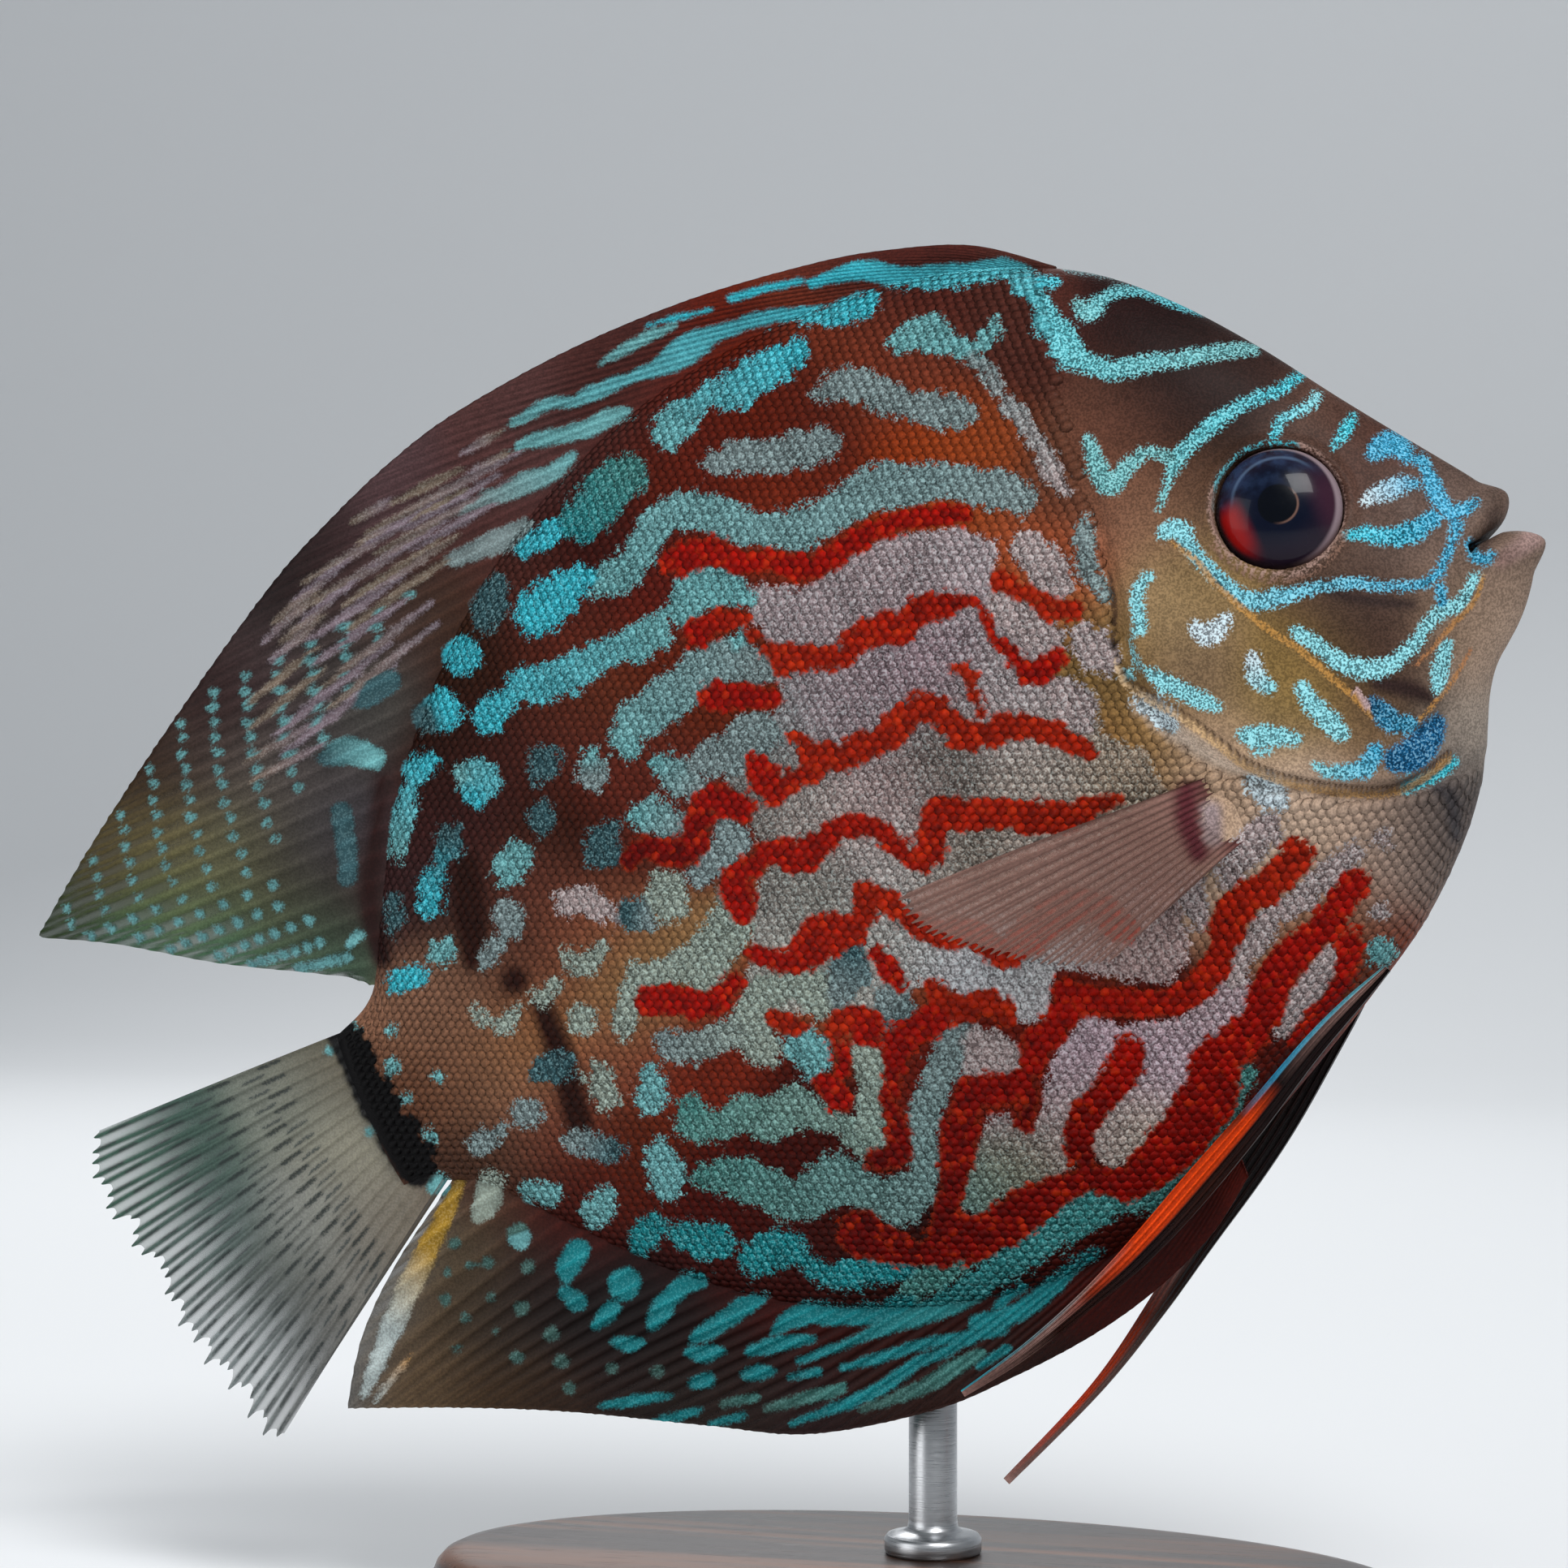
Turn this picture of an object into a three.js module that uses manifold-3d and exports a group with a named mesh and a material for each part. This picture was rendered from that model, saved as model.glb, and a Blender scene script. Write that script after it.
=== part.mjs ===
// Discus fish, a life-size still model on a display stand, in millimetres with +Z up.
// The fish swims towards +X with its nose raised, so its right side faces -Y. The origin is the centre of the
// stand's underside.
// A place on the fish is given as (back, height, side): the distance behind the snout along the body's axis, the
// height above that axis, and the distance to the fish's left.

import * as THREE from "three";
import { mergeVertices } from "three/addons/utils/BufferGeometryUtils.js";
import Module from "manifold-3d";

const wasm = await Module();
wasm.setup();

// Driving dimensions
const STANDARD_LENGTH = 128;
const NOSE_UP_DEG = 26.7;
const SNOUT_X = 58;
const SNOUT_Z = 108.6;
const GAP = 0.3;
const EYE_RADIUS = 5.9;
const EYE_BULGE = 1.7;
const EYE_DEPTH = 3.3;
const BASE_LENGTH = 100;
const BASE_DEPTH = 60;
const BASE_HEIGHT = 8;
const ROD_RADIUS = 2.4;

// Flesh outline of the body, as (back, height), without the fins.
const BACK_LINE = [
  [0, 3.2], [1.5, 5.4], [4.9, 10.6], [9.5, 18.2], [14.1, 26.2], [19.1, 33.6], [24, 39.2], [29, 43], [36, 46.6],
  [45, 49.6], [56, 51.2], [70, 51], [82, 48.4], [93, 43.8], [103, 37], [113, 27.6], [120, 17.4], [124, 11.2], [130, 8.8],
];
const BELLY_LINE = [
  [0, -5], [3.2, -8.3], [5.6, -10], [7.8, -11.6], [9.6, -13.8], [11.6, -17.2], [14, -20.8], [17.8, -24.8], [24, -29.6],
  [31, -33.4], [42, -38.6], [52, -42.6],
  [62, -45], [73, -45.2], [85, -42.2], [96, -37], [106, -29.4], [115, -19.6], [121, -12.4], [125, -9.8], [130, -8.8],
];
// Half thickness of the body, and the height at which each section is thickest.
const HALF_WIDTH = [[0, 2.1], [3, 3.7], [8, 5.8], [15, 8], [25, 10.2], [35, 11], [50, 10.8], [70, 9.6], [90, 7.3], [105, 5.3], [116, 3.8], [124, 2.7], [130, 1.9]];
const WIDEST_HEIGHT = [[0, -0.6], [10, -2.2], [20, -3], [35, -4], [60, -3], [90, -1], [130, 0]];
// The rear edge of the gill cover, where the head ends, from above the nape to under the throat.
const GILL_EDGE = [
  [25.2, 56], [27.6, 44], [29.6, 34], [31.6, 24], [33.4, 15], [35.4, 7.5], [36.4, 1.5], [35.4, -4.6], [31.4, -10.6],
  [25.4, -15.4], [18.6, -18.2], [12.4, -18.4], [4, -17.6],
];
const TAIL_CUT = 118;

// A smooth function through a few (position, value) points.
function profile(points) {
  const slope = (i) => {
    const a = points[Math.max(i - 1, 0)];
    const b = points[Math.min(i + 1, points.length - 1)];
    return (b[1] - a[1]) / (b[0] - a[0]);
  };
  return (at) => {
    let i = 0;
    while (i < points.length - 2 && at > points[i + 1][0]) i += 1;
    const [x0, y0] = points[i];
    const [x1, y1] = points[i + 1];
    const width = x1 - x0;
    const t = Math.min(Math.max((at - x0) / width, 0), 1);
    const ease = t * t * (3 - 2 * t);
    return y0 + (y1 - y0) * ease + width * t * (1 - t) * (slope(i) * (1 - t) - slope(i + 1) * t);
  };
}

const backLine = profile(BACK_LINE);
const bellyLine = profile(BELLY_LINE);
const halfWidth = profile(HALF_WIDTH);
const widestHeight = profile(WIDEST_HEIGHT);
const KEEL_SHARPNESS = 1.12;

// A place on the fish as a vector in the fish's own axes.
const place = (back, height, side = 0) => new THREE.Vector3(-back, side, height);

// The cheek and gill cover stand proud of the flank behind them.
function cheekBulge(back, height) {
  const out = Math.hypot((back - 25) / 15, (height + 2) / 19);
  return 1.1 * Math.max(0, 1 - out ** 4);
}

// Half thickness of the body at a place in side view, 0 outside its outline.
function thicknessAt(back, height) {
  const middle = widestHeight(back);
  const edge = height > middle ? backLine(back) : bellyLine(back);
  const share = (height - middle) / (edge - middle);
  return share >= 1 ? 0 : halfWidth(back) * Math.sqrt(1 - share * share) ** KEEL_SHARPNESS;
}

// Closed surface lofted through body sections. grow makes it larger all round, cheek adds the cheek's bulge.
function bodyLoft(stations, sides, grow, cheek) {
  const ring = 2 * sides;
  const positions = [];
  for (const back of stations) {
    const middle = widestHeight(back);
    for (let k = 0; k < ring; k += 1) {
      const turn = (k / ring) * 2 * Math.PI;
      const rise = Math.sin(turn);
      const edge = rise > 0 ? backLine(back) + grow - middle : middle - bellyLine(back) + grow;
      const height = middle + edge * rise;
      const across = Math.cos(turn);
      let side = Math.abs(across) ** KEEL_SHARPNESS * (halfWidth(back) + grow);
      if (cheek) side += cheekBulge(back, height) * Math.min(1, Math.abs(across) * 3);
      positions.push(...place(back, height, Math.sign(across) * (Math.abs(across) < 1e-6 ? 0 : side)).toArray());
    }
  }
  const indices = [];
  for (let i = 0; i < stations.length - 1; i += 1) {
    for (let k = 0; k < ring; k += 1) {
      const a = i * ring + k;
      const b = i * ring + ((k + 1) % ring);
      indices.push(a, b, a + ring, b, b + ring, a + ring);
    }
  }
  const last = (stations.length - 1) * ring;
  for (let k = 1; k < ring - 1; k += 1) {
    indices.push(0, k + 1, k);
    indices.push(last, last + k, last + k + 1);
  }
  return closed(positions, indices);
}

// Manifold solid of positions and triangles, turned the right way out.
function closed(positions, indices) {
  const build = (tris) =>
    new wasm.Manifold(
      new wasm.Mesh({ numProp: 3, vertProperties: new Float32Array(positions), triVerts: new Uint32Array(tris) }),
    );
  const made = build(indices);
  if (made.volume() > 0) return made;
  const turned = [];
  for (let i = 0; i < indices.length; i += 3) turned.push(indices[i], indices[i + 2], indices[i + 1]);
  return build(turned);
}

// Manifold solid of a closed three.js geometry, moved by a matrix.
function solidOf(geometry, matrix = new THREE.Matrix4()) {
  const plain = geometry.clone().applyMatrix4(matrix);
  plain.deleteAttribute("normal");
  plain.deleteAttribute("uv");
  const merged = mergeVertices(plain, 1e-4);
  return closed([...merged.attributes.position.array], [...merged.index.array]);
}

// Evenly spaced numbers from first to last.
function steps(first, last, count) {
  return Array.from({ length: count + 1 }, (_, i) => first + ((last - first) * i) / count);
}

// The largest body of a cut solid.
function largest(solid) {
  return solid.decompose().sort((a, b) => b.volume() - a.volume())[0];
}

// Prism across the fish: everything in front of the gill edge, moved back by a distance.
function headRegion(moved) {
  const outline = GILL_EDGE.map(([back, height], i) => {
    const before = GILL_EDGE[Math.max(i - 1, 0)];
    const after = GILL_EDGE[Math.min(i + 1, GILL_EDGE.length - 1)];
    const along = new THREE.Vector2(after[0] - before[0], after[1] - before[1]).normalize();
    return new THREE.Vector2(-(back - along.y * moved), height + along.x * moved);
  });
  const edge = new THREE.SplineCurve(outline).getPoints(30);
  const shape = new THREE.Shape([...edge, new THREE.Vector2(12, -17.6), new THREE.Vector2(12, 56)]);
  const prism = new THREE.ExtrudeGeometry(shape, { depth: 60, bevelEnabled: false, steps: 1 });
  prism.translate(0, 0, -30);
  prism.rotateX(Math.PI / 2);
  return solidOf(prism);
}

// Ellipsoid at a place, with radii along (back, side, height).
function ellipsoid(at, radii, columns = 16, rows = 10) {
  const matrix = new THREE.Matrix4().compose(at, new THREE.Quaternion(), new THREE.Vector3(...radii));
  return solidOf(new THREE.SphereGeometry(1, columns, rows), matrix);
}

const headStations = [...steps(0, 12, 9), ...steps(13.8, 40, 14)];
const trunkStations = [...steps(2, 24, 8), ...steps(27.4, TAIL_CUT - GAP, 26)];
const tailStations = steps(TAIL_CUT, STANDARD_LENGTH + 1.6, 5);
const fullBody = bodyLoft([...steps(0, 24, 8), ...steps(27.4, STANDARD_LENGTH + 1.6, 29)], 12, GAP, false);

// Eyes: a flattened ball in a socket, turned to the surface it sits in.
const EYE_AT = [18.3, 10.1];
const EYE_LEAN = 0.16;
function eyeMatrix(side, grow) {
  const surface = thicknessAt(...EYE_AT) + cheekBulge(...EYE_AT);
  const at = place(...EYE_AT, side * (surface + EYE_BULGE - EYE_DEPTH));
  const radii = new THREE.Vector3(EYE_RADIUS + grow, EYE_DEPTH + grow, EYE_RADIUS + grow);
  return new THREE.Matrix4().compose(at, new THREE.Quaternion().setFromEuler(new THREE.Euler(side * EYE_LEAN, 0, side * -EYE_LEAN)), radii);
}

function eye(side, grow = 0) {
  return solidOf(new THREE.SphereGeometry(1, 20, 12), eyeMatrix(side, grow));
}

// Raised rim of skin round the eye.
function eyeRim(side) {
  const ring = new THREE.TorusGeometry(EYE_RADIUS + 0.5, 0.8, 5, 22);
  ring.rotateX(Math.PI / 2);
  const surface = thicknessAt(...EYE_AT) + cheekBulge(...EYE_AT);
  const turn = new THREE.Quaternion().setFromEuler(new THREE.Euler(side * EYE_LEAN, 0, side * -EYE_LEAN));
  const matrix = new THREE.Matrix4().compose(place(...EYE_AT, side * (surface - 0.35)), turn, new THREE.Vector3(1, 1, 1));
  return solidOf(ring, matrix);
}

// Head: lofted front, lips, eye rims and sockets, mouth and nostrils.
function makeHead() {
  let head = bodyLoft(headStations, 14, 0, true).intersect(headRegion(0));
  head = head.add(ellipsoid(place(1.9, 2.8), [2.1, 2.9, 1.8], 12, 8));
  head = head.add(ellipsoid(place(1.3, -3.2), [2.6, 2.9, 1.9], 12, 8));
  for (const side of [1, -1]) head = head.add(eyeRim(side));
  for (const side of [1, -1]) head = head.subtract(eye(side, GAP));
  const mouth = ellipsoid(place(-1.6, 0), [6.6, 4.6, 0.8], 12, 6);
  head = head.subtract(mouth);
  for (const side of [1, -1]) {
    const nostril = [5.4, 8.6];
    head = head.subtract(ellipsoid(place(...nostril, side * thicknessAt(...nostril)), [0.6, 0.9, 0.6], 8, 5));
  }
  return largest(head);
}

const headGrown = headRegion(GAP);
const torso = largest(bodyLoft(trunkStations, 12, 0, false).subtract(headGrown));
const tail = bodyLoft(tailStations, 12, 0, false);

// Thin fin between two faces with the same triangles, its rays raised as ridges.
// at(s, t) is the middle surface, with s along the base and t from the root to the margin.
// ray and web are the thicknesses of the rays and the membrane at the root and at the margin.
function finSheet({ rays, rows, at, normal, ray, web }) {
  const columns = 2 * rays;
  const positions = [];
  for (const face of [1, -1]) {
    for (let i = 0; i <= columns; i += 1) {
      for (let j = 0; j <= rows; j += 1) {
        const t = j / rows;
        const [atRoot, atMargin] = i % 2 === 0 ? ray : web;
        const half = 0.5 * (atRoot + (atMargin - atRoot) * t);
        positions.push(...at(i / columns, t).addScaledVector(normal, face * half).toArray());
      }
    }
  }
  const size = (columns + 1) * (rows + 1);
  const index = (i, j) => i * (rows + 1) + j;
  const indices = [];
  for (let i = 0; i < columns; i += 1) {
    for (let j = 0; j < rows; j += 1) {
      const quad = [index(i, j), index(i + 1, j), index(i + 1, j + 1), index(i, j + 1)];
      indices.push(quad[0], quad[1], quad[2], quad[0], quad[2], quad[3]);
      indices.push(size + quad[0], size + quad[2], size + quad[1], size + quad[0], size + quad[3], size + quad[2]);
    }
  }
  const rim = [];
  for (let i = 0; i <= columns; i += 1) rim.push(index(i, 0));
  for (let j = 1; j <= rows; j += 1) rim.push(index(columns, j));
  for (let i = columns - 1; i >= 0; i -= 1) rim.push(index(i, rows));
  for (let j = rows - 1; j >= 1; j -= 1) rim.push(index(0, j));
  rim.forEach((a, k) => {
    const b = rim[(k + 1) % rim.length];
    indices.push(a, size + a, b, b, size + a, size + b);
  });
  return closed(positions, indices);
}

// A point at a share of the length of a smooth curve through (back, height) points.
function along(points) {
  const curve = new THREE.SplineCurve(points.map((p) => new THREE.Vector2(...p)));
  return (s) => curve.getPointAt(Math.min(Math.max(s, 0), 1));
}

// Fin on the body's edge: base inside the flesh, margin in two stretches that meet at the tip.
function medianFin({ base, outer, rear, tipShare, sway, ...rest }) {
  const baseAt = along(base);
  const outerAt = along(outer);
  const rearAt = along(rear);
  const at = (s, t) => {
    const from = baseAt(s);
    const to = s < tipShare ? outerAt(s / tipShare) : rearAt((s - tipShare) / (1 - tipShare));
    const point = from.clone().lerp(to, t);
    return place(point.x, point.y, sway(point.x) * t);
  };
  return largest(finSheet({ at, normal: new THREE.Vector3(0, 1, 0), ...rest }).subtract(fullBody));
}

// Sideways swing of the soft fins, growing towards the tail.
const sway = (back) => 3.2 * Math.max(0, (back - 100) / 60) ** 2;

const dorsalFin = medianFin({
  base: [[29, 40.6], [36, 44.4], [45, 47.4], [56, 49], [70, 48.6], [82, 46], [93, 41.4], [103, 34.6], [112, 26.2], [118, 18], [122, 10.6]],
  outer: [[28.9, 44.4], [34.3, 48.2], [42, 52], [49.5, 54.6], [62.2, 57.6], [75.8, 59.3], [89.5, 59.5], [98.1, 58.4], [107, 56.2], [115.9, 53.3], [133.1, 45.7], [147, 39], [157.3, 33.4]],
  rear: [[157.3, 33.4], [149, 28.6], [139, 21.6], [130, 16.2], [125, 13.4]],
  tipShare: 0.86, sway, rays: 38, rows: 3, ray: [1.7, 0.8], web: [0.9, 0.55],
});

const analFin = medianFin({
  base: [[50, -39.6], [62, -42.4], [73, -42.6], [85, -39.6], [96, -34.4], [106, -26.8], [113, -19.4], [118, -13], [121.4, -8.6]],
  outer: [[50.4, -44], [56, -47.4], [63, -49.8], [70.8, -51.2], [79.9, -51.6], [88.9, -51.2], [101.3, -48.2], [111, -43], [123.8, -35.9], [134.9, -30.6], [145.2, -26.2]],
  rear: [[145.2, -26.2], [138, -21], [131, -15.6], [124.6, -10.8]],
  tipShare: 0.88, sway, rays: 34, rows: 3, ray: [1.7, 0.8], web: [0.9, 0.55],
});

const CAUDAL_ROOT = [[126, 8.4], [126, 4], [126, 0], [126, -4], [126, -8.6]];
const CAUDAL_MARGIN = [[163, 12.4], [163.4, 6], [162.6, -1], [161, -8], [158.4, -16], [154.5, -24]];
const caudalFin = (() => {
  const rootAt = along(CAUDAL_ROOT);
  const marginAt = along(CAUDAL_MARGIN);
  const tailEnd = bodyLoft(steps(124, STANDARD_LENGTH + 1.6 + GAP, 2), 12, GAP, false);
  const at = (s, t) => {
    const point = rootAt(s).lerp(marginAt(s), t);
    return place(point.x, point.y, sway(point.x) * t);
  };
  const sheet = finSheet({ at, normal: new THREE.Vector3(0, 1, 0), rays: 15, rows: 6, ray: [2.4, 0.8], web: [1.4, 0.5] });
  return largest(sheet.subtract(tailEnd));
})();

// Pectoral fin: a fan that leaves the flank behind the gill cover and lies back over it.
function pectoralFin(side) {
  const root = along([[33.8, -9.4], [35.4, -16]]);
  const margin = along([[65, -6.7], [64.8, -9.8], [62, -13.2], [58, -16.6], [53.8, -19.4], [49.6, -21]]);
  const ROOT_SIDE = 9.4;
  const SPREAD = 8.2;
  const at = (s, t) => {
    const point = root(s).lerp(margin(s), t);
    const out = ROOT_SIDE + SPREAD * Math.sin((t * Math.PI) / 2) * (1 - 0.25 * s);
    return place(point.x, point.y, side * out);
  };
  const normal = new THREE.Vector3(-0.3, side, 0).normalize();
  const sheet = finSheet({ at, normal, rays: 12, rows: 6, ray: [1.2, 0.7], web: [0.7, 0.5] });
  const clear = fullBody.add(bodyLoft(headStations, 14, GAP, true).intersect(headRegion(GAP)));
  return largest(sheet.subtract(clear));
}

// Pelvic fin: a long, narrow blade that ends in a filament, given by its middle line and its width.
function pelvicFin(line, widths, side) {
  const middle = new THREE.CatmullRomCurve3(line.map(([b, h, s]) => place(b, h, side * s)));
  const width = profile(widths);
  const at = (s, t) => {
    const centre = middle.getPointAt(t);
    const ahead = middle.getTangentAt(t);
    const across = new THREE.Vector3(ahead.z, 0, -ahead.x).normalize();
    return centre.addScaledVector(across, (s - 0.5) * width(t));
  };
  const sheet = finSheet({ at, normal: new THREE.Vector3(0, side, 0), rays: 4, rows: 15, ray: [1.3, 0.7], web: [0.8, 0.5] });
  return largest(sheet.subtract(fullBody));
}

const pelvicRight = pelvicFin(
  [[30, -31.4, 3.4], [36, -35.2, 4.3], [44, -39.4, 4.6], [55, -44.2, 4.5], [66, -47.4, 3.8], [76, -49.4, 3], [85, -50.8, 2.4]],
  [[0, 2.4], [0.2, 4.4], [0.45, 5.2], [0.7, 2.8], [0.9, 1.4], [1, 0.8]],
  -1,
);
const pelvicLeft = pelvicFin(
  [[30.4, -29.6, 2.8], [34.4, -32.8, 3.8], [39.6, -36.2, 4.2], [46.8, -40.8, 4.4], [56.6, -46.4, 4.2], [65, -51.4, 3.8], [74, -56, 3.4], [86, -60.4, 2.6]],
  [[0, 2.4], [0.2, 3.2], [0.4, 3.4], [0.6, 2.2], [0.8, 1.2], [1, 0.8]],
  1,
);

// Stand: an oval base and one rod into the fish's far flank, beside the anal fin.
const ROD_SIDE = 5.6;
const ROD_SINK = 0.4;
const toStand = new THREE.Matrix4()
  .makeTranslation(SNOUT_X, 0, SNOUT_Z)
  .multiply(new THREE.Matrix4().makeRotationY(THREE.MathUtils.degToRad(-NOSE_UP_DEG)));

function standBase() {
  const outline = new THREE.Shape();
  outline.absellipse(0, 0, BASE_LENGTH / 2, BASE_DEPTH / 2, 0, Math.PI * 2);
  const bevel = 1.6;
  const slab = new THREE.ExtrudeGeometry(outline, {
    depth: BASE_HEIGHT - 2 * bevel, curveSegments: 30, bevelSize: bevel, bevelOffset: -bevel, bevelThickness: bevel, bevelSegments: 1,
  });
  slab.translate(0, 0, bevel);
  const socket = new THREE.CylinderGeometry(ROD_RADIUS + GAP, ROD_RADIUS + GAP, BASE_HEIGHT, 20);
  socket.rotateX(Math.PI / 2);
  socket.translate(0, ROD_SIDE, BASE_HEIGHT / 2 + BASE_HEIGHT - 4);
  return solidOf(slab).subtract(solidOf(socket));
}

function standRod() {
  const foot = BASE_HEIGHT - 4 + GAP;
  const length = SNOUT_Z - foot;
  const rod = new THREE.CylinderGeometry(ROD_RADIUS, ROD_RADIUS, length, 20);
  rod.rotateX(Math.PI / 2);
  rod.translate(0, ROD_SIDE, foot + length / 2);
  const body = new THREE.Matrix4().copy(toStand);
  const cleared = solidOf(rod).subtract(fullBody.transform([...body.elements]));
  return cleared.decompose().sort((a, b) => a.boundingBox().min[2] - b.boundingBox().min[2])[0];
}

// Colours and finishes
const finish = (color, roughness, metalness = 0) => new THREE.MeshStandardMaterial({ color, roughness, metalness });
const SKIN = finish(0x8d5a48, 0.45);
const HEAD_SKIN = finish(0x6f5142, 0.45);
const FIN = finish(0x3a2420, 0.5);
const CLEAR_FIN = finish(0x9a948c, 0.5);
const PELVIC = finish(0xc84a1a, 0.5);
const EYE = finish(0x140c12, 0.1);
const WOOD = finish(0x3b2418, 0.5);
const STEEL = finish(0xb8b8b8, 0.3, 1);

// Three.js mesh of a manifold solid, as one named node.
function node(name, solid, material) {
  const made = solid.getMesh();
  const geometry = new THREE.BufferGeometry();
  geometry.setAttribute("position", new THREE.BufferAttribute(new Float32Array(made.vertProperties), 3));
  geometry.setIndex(new THREE.BufferAttribute(new Uint32Array(made.triVerts), 1));
  geometry.computeVertexNormals();
  const mesh = new THREE.Mesh(geometry, material);
  mesh.name = name;
  return mesh;
}

const fish = new THREE.Group();
fish.position.set(SNOUT_X, 0, SNOUT_Z);
fish.rotation.y = THREE.MathUtils.degToRad(-NOSE_UP_DEG);
fish.add(
  node("head", makeHead(), HEAD_SKIN),
  node("eye_right", eye(-1), EYE),
  node("eye_left", eye(1), EYE),
  node("torso", torso, SKIN),
  node("tail_stalk", tail, SKIN),
  node("dorsal_fin", dorsalFin, FIN),
  node("anal_fin", analFin, FIN),
  node("caudal_fin", caudalFin, CLEAR_FIN),
  node("pectoral_fin_right", pectoralFin(-1), CLEAR_FIN),
  node("pectoral_fin_left", pectoralFin(1), CLEAR_FIN),
  node("pelvic_fin_right", pelvicRight, PELVIC),
  node("pelvic_fin_left", pelvicLeft, PELVIC),
);

const group = new THREE.Group();
group.add(fish, node("stand_base", standBase(), WOOD), node("stand_rod", standRod(), STEEL));

export default group;
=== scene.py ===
# %% [markdown]
# # A discus fish on a display stand
# A museum model of a living fish has two halves to it. The first is its shape: a deep, thin disc of a body
# with a small head, long soft fins and a stand that holds it up. The second is its coat: thousands of small
# scales painted with glittering turquoise, lilac and red bands. The solids of the first half are loaded
# here as a fixed frame, and every surface of the second half is built round them in the same places.

# %% Load the frame
import math

import bpy
import numpy as np
from mathutils import Matrix, Vector


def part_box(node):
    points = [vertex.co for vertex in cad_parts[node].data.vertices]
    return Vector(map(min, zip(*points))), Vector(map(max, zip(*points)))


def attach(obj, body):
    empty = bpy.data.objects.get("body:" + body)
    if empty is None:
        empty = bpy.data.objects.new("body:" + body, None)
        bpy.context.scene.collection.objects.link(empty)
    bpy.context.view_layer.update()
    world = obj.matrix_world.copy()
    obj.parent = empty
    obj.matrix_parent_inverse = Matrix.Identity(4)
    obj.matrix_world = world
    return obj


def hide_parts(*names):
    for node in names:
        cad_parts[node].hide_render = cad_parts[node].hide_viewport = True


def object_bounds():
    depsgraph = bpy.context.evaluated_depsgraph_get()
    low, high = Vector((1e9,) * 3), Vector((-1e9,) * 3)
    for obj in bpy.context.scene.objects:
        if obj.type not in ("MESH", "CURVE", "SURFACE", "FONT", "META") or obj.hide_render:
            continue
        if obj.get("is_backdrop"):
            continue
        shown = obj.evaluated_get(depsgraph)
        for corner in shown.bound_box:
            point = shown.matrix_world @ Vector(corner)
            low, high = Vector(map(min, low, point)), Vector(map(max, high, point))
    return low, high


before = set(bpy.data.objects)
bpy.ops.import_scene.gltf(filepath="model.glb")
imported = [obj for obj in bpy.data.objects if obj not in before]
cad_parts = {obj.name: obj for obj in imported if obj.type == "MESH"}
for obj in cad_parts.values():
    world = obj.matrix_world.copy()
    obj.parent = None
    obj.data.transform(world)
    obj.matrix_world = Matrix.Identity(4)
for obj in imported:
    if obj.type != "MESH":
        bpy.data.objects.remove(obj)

cad_box = [list(corner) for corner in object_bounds()]
print("solids:", sorted(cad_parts))

# %% [markdown]
# ## The camera
# The camera comes first, because the fish's markings are later placed by where this camera sees them. The
# picture is square and is looked at from the fish's right, a little from the front and level with its
# middle, so the camera is a distance and an angle from one aim point. The focal length is given in picture
# pixels, because that is how it was measured, and is turned into millimetres for the lens.

# %% The camera
PICTURE_SIZE = 1932
FOCAL_PIXELS = 5001.1
CAMERA_TURN = math.radians(18)
CAMERA_DISTANCE = 400.0
SNOUT_X = 58.0
SNOUT_Z = 108.6
AIM = np.array([SNOUT_X - 71.657, 0.0, SNOUT_Z - 24.631])
METRE = 0.001
SENSOR = 36.0
NEAREST_SEEN = 0.01


def add_object(name, data):
    """A new object that holds this data, put into the scene."""
    thing = bpy.data.objects.new(name, data)
    bpy.context.scene.collection.objects.link(thing)
    return thing


toward_fish = np.array([-math.sin(CAMERA_TURN), math.cos(CAMERA_TURN), 0.0])
to_the_right = np.array([math.cos(CAMERA_TURN), math.sin(CAMERA_TURN), 0.0])
camera_place = AIM - CAMERA_DISTANCE * toward_fish

camera = add_object("camera", bpy.data.cameras.new("camera"))
camera.data.sensor_width = SENSOR
camera.data.lens = SENSOR * FOCAL_PIXELS / PICTURE_SIZE
camera.data.clip_start = NEAREST_SEEN
camera.location = Vector(camera_place * METRE)
camera.rotation_euler = (math.pi / 2, 0.0, CAMERA_TURN)
bpy.context.scene.camera = camera
bpy.context.scene.view_settings.view_transform = "Standard"
print("lens", round(camera.data.lens, 1), "mm")

# %% [markdown]
# ## The fish's own axes
# It is easier to think along the fish than across the room, so a place on it is (back, height, side) in
# millimetres: how far behind the snout, how high above the body's axis, and how far to the fish's left. One
# function turns that into the scene's metres, and one says where the camera would see it. The left flank is
# given the same markings as the right by folding it over before it is looked at.

# %% From the fish to the scene and to the picture
NOSE_UP = math.radians(26.7)


def to_scene(back, height, side):
    """Places on the fish, in millimetres, as points of the scene, in metres."""
    x = SNOUT_X - back * math.cos(NOSE_UP) - height * math.sin(NOSE_UP)
    z = SNOUT_Z - back * math.sin(NOSE_UP) + height * math.cos(NOSE_UP)
    return np.stack([x, side + 0 * x, z], axis=-1) * METRE


def to_picture(points):
    """Where the camera sees points of the scene, in pixels, with the left side folded onto the right."""
    folded = points / METRE
    folded[..., 1] = -np.abs(folded[..., 1])
    away = folded - camera_place
    depth = away @ toward_fish
    across = PICTURE_SIZE / 2 + FOCAL_PIXELS * (away @ to_the_right) / depth
    down = PICTURE_SIZE / 2 - FOCAL_PIXELS * away[..., 2] / depth
    return np.stack([across, down], axis=-1)


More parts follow.
